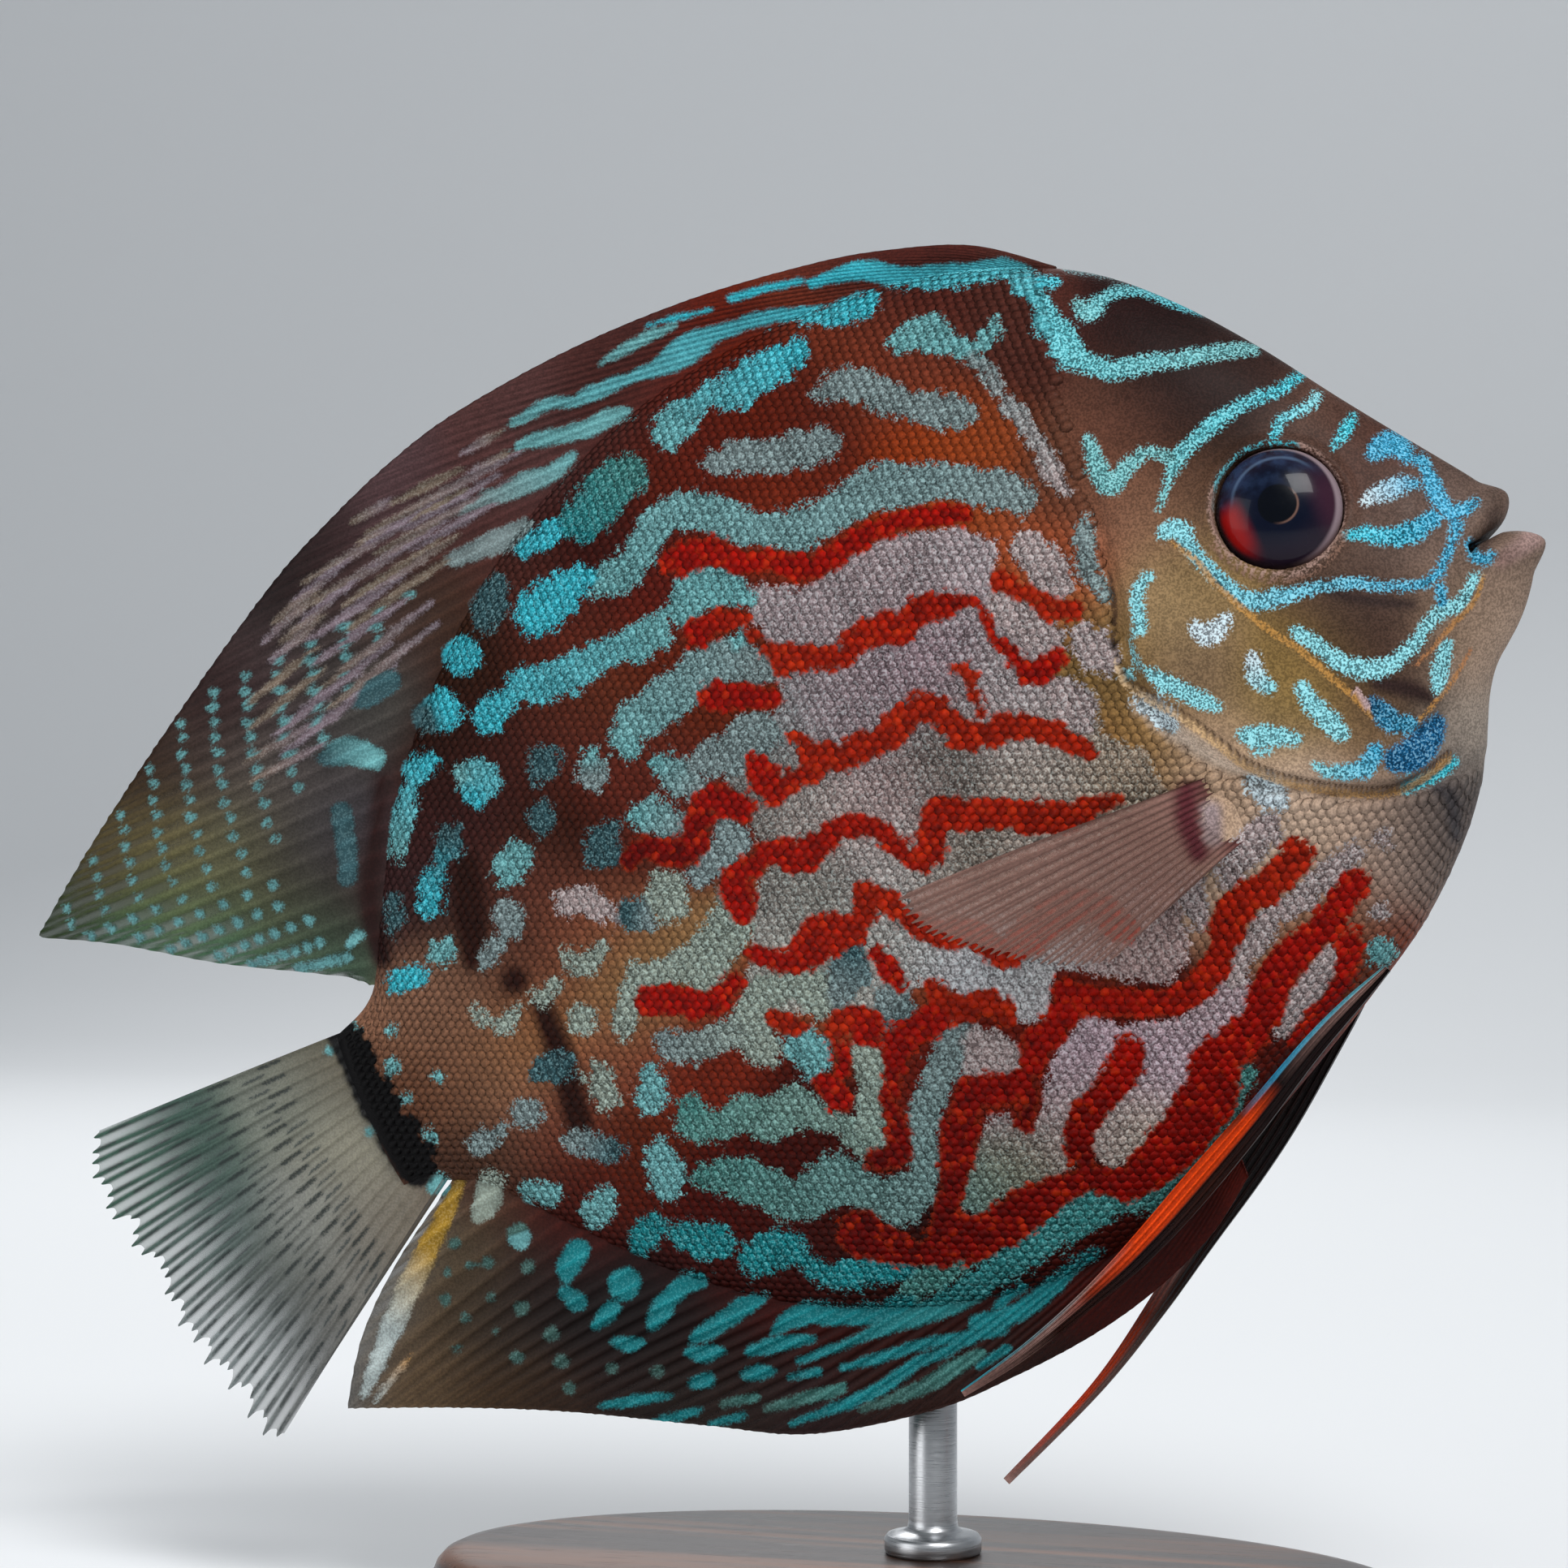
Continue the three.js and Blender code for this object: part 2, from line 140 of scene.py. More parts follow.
def smoothstep(low, high, value):
    """0 below low, 1 above high, and a soft ramp between them."""
    t = np.clip((value - low) / (high - low), 0, 1)
    return t * t * (3 - 2 * t)


# %% [markdown]
# ## The body's lines
# A fish body is a loft: an outline seen from the side, a thickness seen from above, and a rule for the
# section between them. These are the same few points that the solids were made from, so the skin and the
# solids agree. `profile` draws a smooth function through them.

# %% Body lines
BACK_LINE = [
    (0, 3.2), (1.5, 5.4), (4.9, 10.6), (9.5, 18.2), (14.1, 26.2), (19.1, 33.6), (24, 39.2), (29, 43),
    (36, 46.6), (45, 49.6), (56, 51.2), (70, 51), (82, 48.4), (93, 43.8), (103, 37), (113, 27.6),
    (120, 17.4), (124, 11.2), (130, 8.8),
]
BELLY_LINE = [
    (0, -5), (3.2, -8.3), (5.6, -10), (7.8, -11.6), (9.6, -13.8), (11.6, -17.2), (14, -20.8), (17.8, -24.8),
    (24, -29.6), (31, -33.4), (42, -38.6), (52, -42.6), (62, -45), (73, -45.2), (85, -42.2), (96, -37),
    (106, -29.4), (115, -19.6), (121, -12.4), (125, -9.8), (130, -8.8),
]
HALF_WIDTH = [
    (0, 2.1), (3, 3.7), (8, 5.8), (15, 8), (25, 10.2), (35, 11), (50, 10.8), (70, 9.6), (90, 7.3), (105, 5.3),
    (116, 3.8), (124, 2.7), (130, 1.9),
]
WIDEST_HEIGHT = [(0, -0.6), (10, -2.2), (20, -3), (35, -4), (60, -3), (90, -1), (130, 0)]
GILL_EDGE = [
    (25.2, 56), (27.6, 44), (29.6, 34), (31.6, 24), (33.4, 15), (35.4, 7.5), (36.4, 1.5), (35.4, -4.6),
    (31.4, -10.6), (25.4, -15.4), (18.6, -18.2), (12.4, -18.4), (4, -17.6),
]
STANDARD_LENGTH = 128.0
KEEL_SHARPNESS = 1.12
COAT_DEPTH = 0.2


def profile(points):
    """A smooth function through a few (position, value) points."""
    at, value = np.array(points, float).T
    before = np.maximum(np.arange(len(at)) - 1, 0)
    after = np.minimum(np.arange(len(at)) + 1, len(at) - 1)
    slope = (value[after] - value[before]) / (at[after] - at[before])

    def smooth(x):
        i = np.clip(np.searchsorted(at, x) - 1, 0, len(at) - 2)
        width = at[i + 1] - at[i]
        t = np.clip((x - at[i]) / width, 0, 1)
        ease = t * t * (3 - 2 * t)
        swing = width * t * (1 - t) * (slope[i] * (1 - t) - slope[i + 1] * t)
        return value[i] + (value[i + 1] - value[i]) * ease + swing

    return smooth


back_line = profile(BACK_LINE)
belly_line = profile(BELLY_LINE)
half_width = profile(HALF_WIDTH)
widest_height = profile(WIDEST_HEIGHT)


def cheek_bulge(back, height):
    """How far the cheek and the gill cover stand proud of the flank."""
    out = np.hypot((back - 25) / 15, (height + 2) / 19)
    return 1.1 * np.maximum(0, 1 - out**4)


def along(points):
    """A function from a share of the length of a smooth curve through the points to the place there."""
    knots = np.array(points, float)
    padded = np.vstack([knots[0], knots, knots[-1]])
    t = np.linspace(0, 1, 17)[:, None]
    pieces = []
    for i in range(len(knots) - 1):
        p0, p1, p2, p3 = padded[i : i + 4]
        v0, v1 = (p2 - p0) / 2, (p3 - p1) / 2
        cubic = (2 * p1 - 2 * p2 + v0 + v1) * t**3 + (-3 * p1 + 3 * p2 - 2 * v0 - v1) * t**2 + v0 * t + p1
        pieces.append(cubic if i == len(knots) - 2 else cubic[:-1])
    line = np.vstack(pieces)
    length = np.concatenate([[0], np.cumsum(np.linalg.norm(np.diff(line, axis=0), axis=1))])

    def at(share):
        wanted = np.clip(share, 0, 1) * length[-1]
        return np.stack([np.interp(wanted, length, line[:, k]) for k in range(line.shape[1])], axis=-1)

    return at


print("deepest at 62 mm:", round(float(back_line(62.0) - belly_line(62.0)), 1), "mm")

# %% [markdown]
# ## Reading a marking off the picture
# A band on the coat is a brush stroke: a few points along its middle, each with the band's width there, in
# picture pixels. For any point of the skin, `brush` gives how far it lies inside the nearest stroke,
# negative outside. That signed distance is stored on the vertices, and the material decides at render time
# where the edge falls. An edge kept this way stays crisp on a coarse mesh and can be roughened by noise,
# which a painted colour cannot.

# %% Brush strokes and washes
FAR = 40.0
BEND_STEPS = 4


def linear(red, green, blue):
    """A colour of 0 to 255 in each channel as the linear values that shaders work in."""
    c = np.array([red, green, blue]) / 255.0
    return np.where(c <= 0.04045, c / 12.92, ((c + 0.055) / 1.055) ** 2.4)


def bent(points):
    """A stroke's points with smooth ones put in between."""
    return along(points)(np.linspace(0, 1, BEND_STEPS * (len(points) - 1) + 1)) if len(points) > 1 else points


def brush(pixels, strokes, plain):
    """How far each pixel place lies inside the nearest stroke, and that stroke's colour."""
    inside = np.full(len(pixels), -FAR)
    colour = np.tile(plain, (len(pixels), 1))
    for first_tint, last_tint, points in strokes:
        line = np.array(bent(points), float)
        reach = FAR + line[:, 2].max() / 2
        low, high = line[:, :2].min(0) - reach, line[:, :2].max(0) + reach
        near = np.nonzero(((pixels > low) & (pixels < high)).all(1))[0]
        if not len(near):
            continue
        place = pixels[near]
        depth = np.full(len(near), -FAR)
        share = np.zeros(len(near))
        steps = max(len(line) - 1, 1)
        for k in range(steps):
            a, b = line[k], line[min(k + 1, len(line) - 1)]
            way = b[:2] - a[:2]
            t = np.clip((place - a[:2]) @ way / max(way @ way, 1e-9), 0, 1)
            gap = np.linalg.norm(place - a[:2] - t[:, None] * way, axis=1)
            here = (a[2] + (b[2] - a[2]) * t) / 2 - gap
            better = here > depth
            depth = np.where(better, here, depth)
            share = np.where(better, (k + t) / steps, share)
        won = depth > inside[near]
        inside[near[won]] = depth[won]
        colour[near[won]] = first_tint + (last_tint - first_tint) * share[won, None]
    return inside, colour


def patch(pixels, outline):
    """How far each pixel place lies inside a closed outline, negative outside."""
    corners = np.array(outline, float)
    gap = np.full(len(pixels), 1e9)
    crossings = np.zeros(len(pixels), bool)
    for a, b in zip(corners, np.roll(corners, -1, axis=0)):
        way = b - a
        t = np.clip((pixels - a) @ way / (way @ way), 0, 1)
        gap = np.minimum(gap, np.linalg.norm(pixels - a - t[:, None] * way, axis=1))
        spans = (a[1] > pixels[:, 1]) != (b[1] > pixels[:, 1])
        lift = b[1] - a[1] if b[1] != a[1] else 1e-9
        crossings ^= spans & (pixels[:, 0] < a[0] + way[0] * (pixels[:, 1] - a[1]) / lift)
    return np.clip(np.where(crossings, gap, -gap), -FAR, FAR)


def wash(pixels, dabs, spread):
    """A soft blend of dabs, each a place and a colour of 0 to 255, strongest at its own place."""
    total = np.zeros(len(pixels))
    colour = np.zeros((len(pixels), 3))
    for x, y, *rgb in dabs:
        weight = np.exp(-((pixels[:, 0] - x) ** 2 + (pixels[:, 1] - y) ** 2) / (2 * spread**2)) + 1e-12
        total += weight
        colour += weight[:, None] * linear(*rgb)
    return colour / total[:, None]


def painted(*groups):
    """Strokes from groups, each with one paint, or with those at a stroke's two ends, before the strokes."""
    strokes = []
    for first, *rest in groups:
        last = first if isinstance(rest[0], list) else rest.pop(0)
        strokes += [(first, last, points) for points in rest]
    return strokes


def slimmer(strokes, share):
    """The same strokes with every width cut to a share."""
    return [(a, b, [(x, y, width * share) for x, y, width in line]) for a, b, line in strokes]


# %% [markdown]
# ## The colours of the coat
# A maker mixes a palette before painting. These are the pale paints: turquoise where the light glances off
# the scales, teal where it does not, sea green under the belly, lilac grey on the shoulder, and the blues
# of the face. The reds run from orange to a brown so dark that it is nearly black under the belly, a
# darkness that is partly painted shade, and the fins bring a few quiet tints of their own.

# %% Palette
TURQUOISE = linear(48, 170, 186)
AQUA = linear(98, 156, 158)
SEA = linear(18, 122, 128)
JADE = linear(64, 122, 116)
MOSS = linear(60, 92, 86)
TEAL = linear(48, 80, 86)
LILAC = linear(158, 140, 138)
MIST = linear(116, 130, 130)
CREAM = linear(138, 148, 136)
CYAN = linear(118, 182, 190)
SKY = linear(52, 142, 176)
DEEP_BLUE = linear(18, 84, 124)
SILVER = linear(176, 188, 194)
SCARLET = linear(150, 10, 1)
RUST = linear(150, 28, 5)
MAROON = linear(98, 4, 1)
UMBER = linear(40, 14, 7)
OCHRE = linear(168, 122, 62)
BEIGE = linear(196, 166, 128)
AMBER = linear(150, 100, 66)
PAINTED_GILL_SHADOW = linear(46, 30, 22)
BAR_INK = linear(8, 7, 8)
ASHEN = linear(124, 108, 116)
SAND = linear(118, 102, 88)
GOLD = linear(160, 124, 40)
CHALK = linear(168, 178, 176)
SMOKE = linear(46, 52, 52)
ROSE = linear(136, 102, 92)
WINE = linear(84, 40, 40)
ORANGE = linear(214, 66, 10)
EMBER = linear(130, 44, 20)
ASH = linear(24, 12, 12)
PINK = linear(150, 116, 108)

# %% [markdown]
# ## Bands on the back and the flank
# Bands that share their paints stand in one group. A group starts with its paint, or with the paints at a
# band's two ends where these differ, and every list after that is one band: (across, down, width) at each
# of its points.

# %% Pale bands on the back
BACK_BANDS = painted(
    (TURQUOISE,
     [(900, 368, 10), (950, 354, 10), (984, 347, 9)],
     [(1279, 349, 14), (1300, 347, 12)],
     [(797, 401, 4), (835, 391, 8), (877, 382, 4)],
     [(684, 650, 24), (668, 662, 34), (645, 674, 24)]),
    (TURQUOISE, AQUA,
     [(1000, 349, 12), (1040, 337, 20), (1068, 333, 26), (1096, 339, 26), (1128, 342, 26), (1160, 340, 31),
      (1198, 337, 28), (1230, 331, 28), (1247, 332, 24), (1261, 346, 36), (1277, 363, 26), (1286, 377, 24),
      (1289, 395, 36), (1307, 412, 36), (1317, 433, 40), (1338, 447, 26), (1370, 456, 26), (1401, 451, 24),
      (1426, 446, 20), (1450, 444, 18), (1476, 438, 18), (1516, 432, 18), (1545, 430, 14)],
     [(984, 433, 30), (953, 451, 46), (924, 468, 50), (900, 484, 46), (878, 488, 34), (856, 499, 26),
      (838, 515, 42), (826, 530, 50), (820, 540, 26)]),
    (AQUA, TURQUOISE,
     [(630, 522, 8), (650, 512, 14), (676, 497, 16), (706, 496, 12), (725, 487, 20), (749, 476, 18),
      (774, 466, 14), (805, 455, 20), (835, 438, 36), (860, 422, 34), (880, 412, 22), (900, 405, 18),
      (935, 393, 18), (970, 388, 18), (1002, 389, 24), (1030, 389, 30), (1051, 381, 36), (1072, 370, 24)]),
    (AQUA,
     [(740, 448, 6), (770, 430, 14), (800, 414, 14), (830, 401, 8)],
     [(1110, 423, 30), (1131, 412, 40), (1149, 412, 46), (1170, 423, 34), (1191, 430, 26), (1212, 423, 20),
      (1223, 409, 20), (1228, 395, 8)],
     [(774, 506, 10), (749, 515, 22), (725, 527, 24), (694, 536, 20), (664, 542, 20), (639, 549, 12)]),
    (MIST, LILAC,
     [(1198, 440, 22), (1216, 458, 18), (1233, 486, 18), (1254, 510, 22), (1272, 539, 22), (1289, 563, 24),
      (1303, 591, 24), (1316, 605, 12)]),
    (MIST,
     [(1012, 486, 24), (1033, 475, 40), (1054, 475, 46), (1082, 486, 44), (1110, 496, 40), (1139, 503, 36),
      (1170, 507, 44), (1191, 510, 30)],
     [(878, 572, 28), (907, 565, 40), (939, 562, 42), (970, 558, 46), (1005, 549, 44), (1025, 546, 30)],
     [(648, 648, 20), (620, 665, 32), (590, 676, 24), (560, 690, 20)]),
    (AQUA, MIST,
     [(706, 561, 12), (682, 582, 22), (651, 594, 28), (621, 607, 24), (602, 613, 20), (572, 628, 14)]),
    (JADE, SEA,
     [(782, 576, 28), (768, 587, 56), (745, 608, 56), (722, 636, 54), (705, 645, 36), (720, 660, 24)]),
)
print(len(BACK_BANDS), "bands on the back")

# %% Pale bands on the middle of the flank
FLANK_BANDS = painted(
    (AQUA, MIST,
     [(740, 724, 24), (758, 712, 44), (780, 692, 44), (798, 665, 40), (815, 640, 44), (847, 628, 44),
      (880, 636, 50), (907, 648, 50), (953, 654, 46), (988, 651, 56), (1023, 633, 50), (1054, 616, 50),
      (1082, 602, 60), (1110, 602, 56), (1146, 595, 46), (1174, 595, 44), (1205, 602, 50), (1233, 605, 52),
      (1258, 612, 40)],
     [(778, 925, 24), (770, 908, 40), (790, 885, 50), (825, 860, 60), (850, 840, 56), (880, 820, 60),
      (910, 815, 56), (930, 822, 50)],
     [(812, 942, 24), (832, 955, 44), (855, 970, 36)],
     [(790, 1005, 30), (805, 1005, 44), (825, 1015, 44), (840, 1015, 30)]),
    (TURQUOISE,
     [(722, 712, 30), (700, 724, 44), (672, 748, 60), (655, 762, 44)],
     [(569, 809, 48)]),
    (TEAL,
     [(612, 722, 28), (603, 745, 46), (598, 762, 34)],
     [(755, 1020, 24), (740, 1040, 40), (755, 1055, 30), (730, 1055, 30)]),
    (TEAL, TURQUOISE, [(530, 882, 44), (545, 876, 50)]),
    (TURQUOISE, AQUA,
     [(602, 884, 42), (620, 862, 30), (645, 845, 40), (672, 842, 46), (700, 832, 46), (728, 814, 38),
      (755, 802, 36), (782, 792, 46), (806, 782, 46)]),
    (AQUA,
     [(840, 755, 40), (850, 738, 54), (868, 722, 60), (892, 722, 50), (915, 738, 30)],
     [(915, 778, 20), (908, 800, 30)]),
    (LILAC,
     [(1262, 672, 36), (1285, 695, 50), (1305, 725, 36)],
     [(1235, 745, 40), (1262, 765, 56), (1290, 785, 44)],
     [(1340, 790, 44), (1355, 805, 50), (1365, 820, 30)],
     [(1300, 850, 36), (1320, 868, 56), (1330, 885, 44)],
     [(695, 1115, 30), (715, 1110, 36), (740, 1118, 30), (760, 1128, 24)]),
    (MIST,
     [(1337, 646, 22), (1336, 678, 28), (1343, 705, 24), (1359, 725, 18), (1366, 735, 12)],
     [(850, 945, 30), (880, 935, 44), (905, 925, 56), (930, 905, 60)],
     [(895, 1020, 30), (905, 1040, 44), (885, 1055, 50), (865, 1075, 36)]),
    (CREAM,
     [(893, 1095, 20), (905, 1120, 44), (895, 1150, 60), (875, 1170, 56), (870, 1205, 50), (855, 1185, 44),
      (830, 1195, 40), (805, 1205, 40), (785, 1195, 24)],
     [(820, 1095, 50), (822, 1115, 50)]),
    (TEAL, MIST, [(775, 1125, 40), (800, 1130, 30)]),
)
print(len(FLANK_BANDS), "bands on the flank")

# %% Spots towards the tail
REAR_SPOTS = painted(
    (TURQUOISE, AQUA,
     [(525, 940, 30), (512, 950, 34), (508, 965, 16), (500, 990, 26), (494, 1020, 26), (490, 1050, 22)]),
    (AQUA, TURQUOISE, [(575, 955, 34), (590, 960, 50), (585, 980, 34)]),
    (TEAL,
     [(672, 935, 40), (665, 955, 24)],
     [(668, 1000, 30), (665, 1015, 34)],
     [(485, 1110, 22), (487, 1130, 24), (485, 1145, 18)],
     [(668, 1318, 30), (685, 1315, 40), (695, 1310, 30)]),
    (AQUA, MIST, [(728, 935, 26), (730, 952, 40)]),
    (AQUA,
     [(640, 1050, 30), (630, 1068, 44), (625, 1080, 24)],
     [(548, 1165, 24), (545, 1176, 30)],
     [(800, 1320, 24), (803, 1345, 40), (800, 1360, 30)],
     [(812, 1415, 30), (818, 1440, 46), (822, 1460, 40)],
     [(655, 1468, 28), (680, 1472, 28)],
     [(745, 1475, 30), (735, 1492, 40)],
     [(640, 1525, 30)]),
    (TEAL, TURQUOISE,
     [(553, 1030, 36), (555, 1045, 30), (540, 1065, 16), (533, 1090, 34), (530, 1115, 30)]),
    (MIST,
     [(625, 1125, 34), (630, 1140, 34), (622, 1152, 20), (602, 1178, 22), (595, 1190, 14)],
     [(650, 1372, 38)],
     [(615, 1395, 24), (590, 1410, 30)]),
    (CREAM,
     [(700, 1175, 16), (715, 1190, 30), (735, 1175, 24), (745, 1165, 16)],
     [(682, 1214, 20)],
     [(665, 1230, 26)],
     [(718, 1255, 36)],
     [(782, 1205, 24), (778, 1235, 34), (770, 1260, 34), (768, 1272, 20)],
     [(585, 1245, 12), (597, 1258, 16), (618, 1265, 22), (632, 1250, 20), (630, 1240, 10)],
     [(735, 1325, 30), (745, 1345, 36), (748, 1358, 24)],
     [(605, 1455, 30), (600, 1480, 34), (588, 1500, 16)]),
    (TURQUOISE, [(490, 1212, 24), (505, 1205, 30), (518, 1205, 24)]),
    (MIST, TEAL, [(705, 1405, 30), (735, 1412, 34), (755, 1418, 30)]),
)
TAIL_BAR_SPOTS = [
    (435, 1268, 18), (405, 1295, 14), (482, 1315, 22), (498, 1355, 14), (528, 1400, 18), (456, 1393, 14),
    (540, 1460, 30), (483, 1270, 12), (540, 1328, 14),
]
print(len(REAR_SPOTS), "spots towards the tail")

# %% Pale bands below the middle
LOWER_BANDS = painted(
    (MIST, CREAM,
     [(820, 1285, 30), (845, 1290, 40), (870, 1285, 40), (895, 1275, 40), (925, 1270, 56),
      (940, 1292, 50)]),
    (CREAM, [(925, 1262, 56), (938, 1232, 50), (965, 1215, 44), (1000, 1215, 50), (1012, 1245, 30)]),
    (AQUA, [(990, 1290, 50), (1005, 1300, 50), (1000, 1320, 24)]),
    (TEAL, MIST, [(1050, 1175, 36), (1045, 1200, 50), (1030, 1225, 44)]),
    (MIST, TEAL, [(1100, 1235, 44), (1108, 1255, 50), (1100, 1278, 36)]),
    (CREAM, JADE,
     [(1062, 1300, 36), (1075, 1320, 50), (1075, 1350, 44), (1070, 1380, 44), (1080, 1395, 50),
      (1062, 1410, 34), (1040, 1385, 34), (1010, 1375, 40), (980, 1365, 56), (950, 1380, 50),
      (915, 1375, 46), (885, 1385, 40), (855, 1385, 44), (850, 1365, 30)]),
    (MIST, JADE,
     [(1180, 1262, 40), (1175, 1290, 50), (1160, 1320, 44), (1145, 1360, 44), (1135, 1400, 44),
      (1140, 1440, 44), (1125, 1470, 56), (1105, 1485, 56), (1085, 1475, 50), (1060, 1465, 50),
      (1035, 1455, 66), (1010, 1465, 60), (985, 1480, 50), (950, 1468, 50), (920, 1455, 56),
      (890, 1450, 44), (860, 1450, 24)]),
    (LILAC, [(1195, 1285, 50), (1215, 1300, 66), (1240, 1310, 50)]),
    (SEA,
     [(712, 1540, 30), (700, 1560, 30), (698, 1575, 16)],
     [(770, 1582, 42)],
     [(698, 1595, 20), (712, 1605, 24)],
     [(792, 1530, 34), (800, 1510, 30), (812, 1510, 20)],
     [(840, 1518, 30), (860, 1528, 44), (885, 1530, 40), (900, 1540, 16)],
     [(930, 1555, 40), (945, 1545, 50), (970, 1540, 40), (985, 1545, 24), (1000, 1560, 24),
      (1030, 1572, 34), (1060, 1570, 40), (1090, 1560, 44), (1105, 1548, 36), (1118, 1568, 24)],
     [(862, 1578, 20), (845, 1582, 24), (825, 1600, 24), (812, 1618, 28), (805, 1632, 16)],
     [(940, 1600, 10), (920, 1608, 24), (895, 1625, 24), (870, 1640, 22), (855, 1650, 12)],
     [(955, 1640, 14), (975, 1625, 26), (1000, 1618, 28), (1040, 1622, 24), (1080, 1618, 26),
      (1110, 1608, 24), (1130, 1590, 14)],
     [(1355, 1544, 10), (1329, 1557, 16), (1300, 1582, 24), (1270, 1607, 24), (1237, 1624, 26),
      (1203, 1630, 24)],
     [(1262, 1586, 10), (1245, 1595, 14), (1228, 1611, 10)]),
    (JADE, [(1130, 1585, 40), (1150, 1570, 44), (1175, 1550, 46), (1195, 1530, 44), (1190, 1515, 20)]),
    (JADE, SEA,
     [(1531, 1325, 34), (1515, 1376, 20), (1481, 1418, 20), (1451, 1447, 26), (1418, 1472, 36),
      (1384, 1481, 34), (1355, 1485, 50), (1321, 1498, 60), (1296, 1515, 56), (1270, 1536, 50),
      (1241, 1557, 44), (1216, 1573, 40), (1186, 1595, 36), (1144, 1616, 30), (1102, 1630, 24),
      (1062, 1648, 14), (1023, 1663, 12), (984, 1677, 8)]),
)
print(len(LOWER_BANDS), "bands below the middle")

# %% Streaks along the belly and onto the anal fin
BELLY_STREAKS = painted(
    (SEA,
     [(757, 1652, 12), (775, 1656, 20), (790, 1654, 10)],
     [(735, 1632, 14), (750, 1618, 22), (757, 1610, 14)],
     [(852, 1666, 16), (870, 1668, 22), (888, 1664, 12)],
     [(855, 1704, 16), (872, 1700, 20)],
     [(920, 1694, 14), (938, 1690, 20), (952, 1690, 10)],
     [(925, 1665, 14), (950, 1658, 22), (980, 1652, 16), (1003, 1650, 10)],
     [(740, 1732, 8), (770, 1728, 14), (805, 1722, 12), (828, 1720, 6)],
     [(795, 1755, 6), (825, 1748, 12), (860, 1738, 10)],
     [(875, 1755, 8), (916, 1745, 10)],
     [(974, 1697, 8), (1008, 1690, 12)],
     [(1037, 1685, 10), (1086, 1673, 14), (1130, 1658, 14), (1178, 1648, 14), (1235, 1640, 14)],
     [(974, 1755, 6), (1013, 1740, 12), (1052, 1726, 16), (1091, 1707, 18), (1125, 1682, 16),
      (1159, 1668, 14), (1207, 1644, 14)],
     [(1207, 1682, 10), (1240, 1663, 12)]),
    (MOSS, JADE,
     [(890, 1730, 10), (930, 1722, 12)],
     [(945, 1736, 10), (989, 1724, 16), (1037, 1711, 14)],
     [(1062, 1736, 10), (1134, 1711, 18), (1173, 1687, 20), (1207, 1668, 16)]),
)
BELLY_SPOTS = [
    (642, 1612, 20), (604, 1598, 14), (546, 1602, 16), (572, 1624, 14), (610, 1639, 10), (680, 1644, 20),
    (635, 1673, 18), (691, 1678, 20), (755, 1686, 16), (810, 1690, 16), (700, 1712, 16), (560, 1663, 14),
    (550, 1568, 12), (579, 1559, 12), (601, 1556, 16), (650, 1561, 18), (560, 1532, 16), (638, 1520, 28),
]

# %% Pale blobs behind the gills and on the throat
THROAT_BLOBS = painted(
    (LILAC,
     [(1668, 1051, 30), (1640, 1076, 36), (1594, 1113, 34), (1564, 1125, 34), (1551, 1155, 40),
      (1527, 1177, 40), (1522, 1200, 36)],
     [(1562, 1022, 40), (1540, 1045, 44), (1520, 1068, 40), (1512, 1085, 30)],
     [(1468, 1085, 30), (1470, 1108, 40), (1478, 1130, 30)],
     [(1640, 1178, 36), (1630, 1200, 44), (1610, 1225, 40), (1590, 1250, 44), (1580, 1262, 36)],
     [(1700, 1122, 26)],
     [(1704, 1033, 26)]),
    (AQUA, [(1701, 1174, 36)]),
    (SILVER,
     [(1545, 962, 24), (1562, 975, 44), (1575, 985, 24)],
     [(1407, 864, 20), (1430, 879, 34), (1442, 891, 24)]),
    (TURQUOISE, [(1730, 972, 16), (1750, 962, 16), (1770, 955, 14), (1790, 940, 14)]),
)

# %% [markdown]
# ## Bands on the head
# The face has the finest and bluest lines: they fan out from the mouth, run round the eye and cross the
# gill cover. They are the first thing that is looked at, so they are drawn closely, one by one.

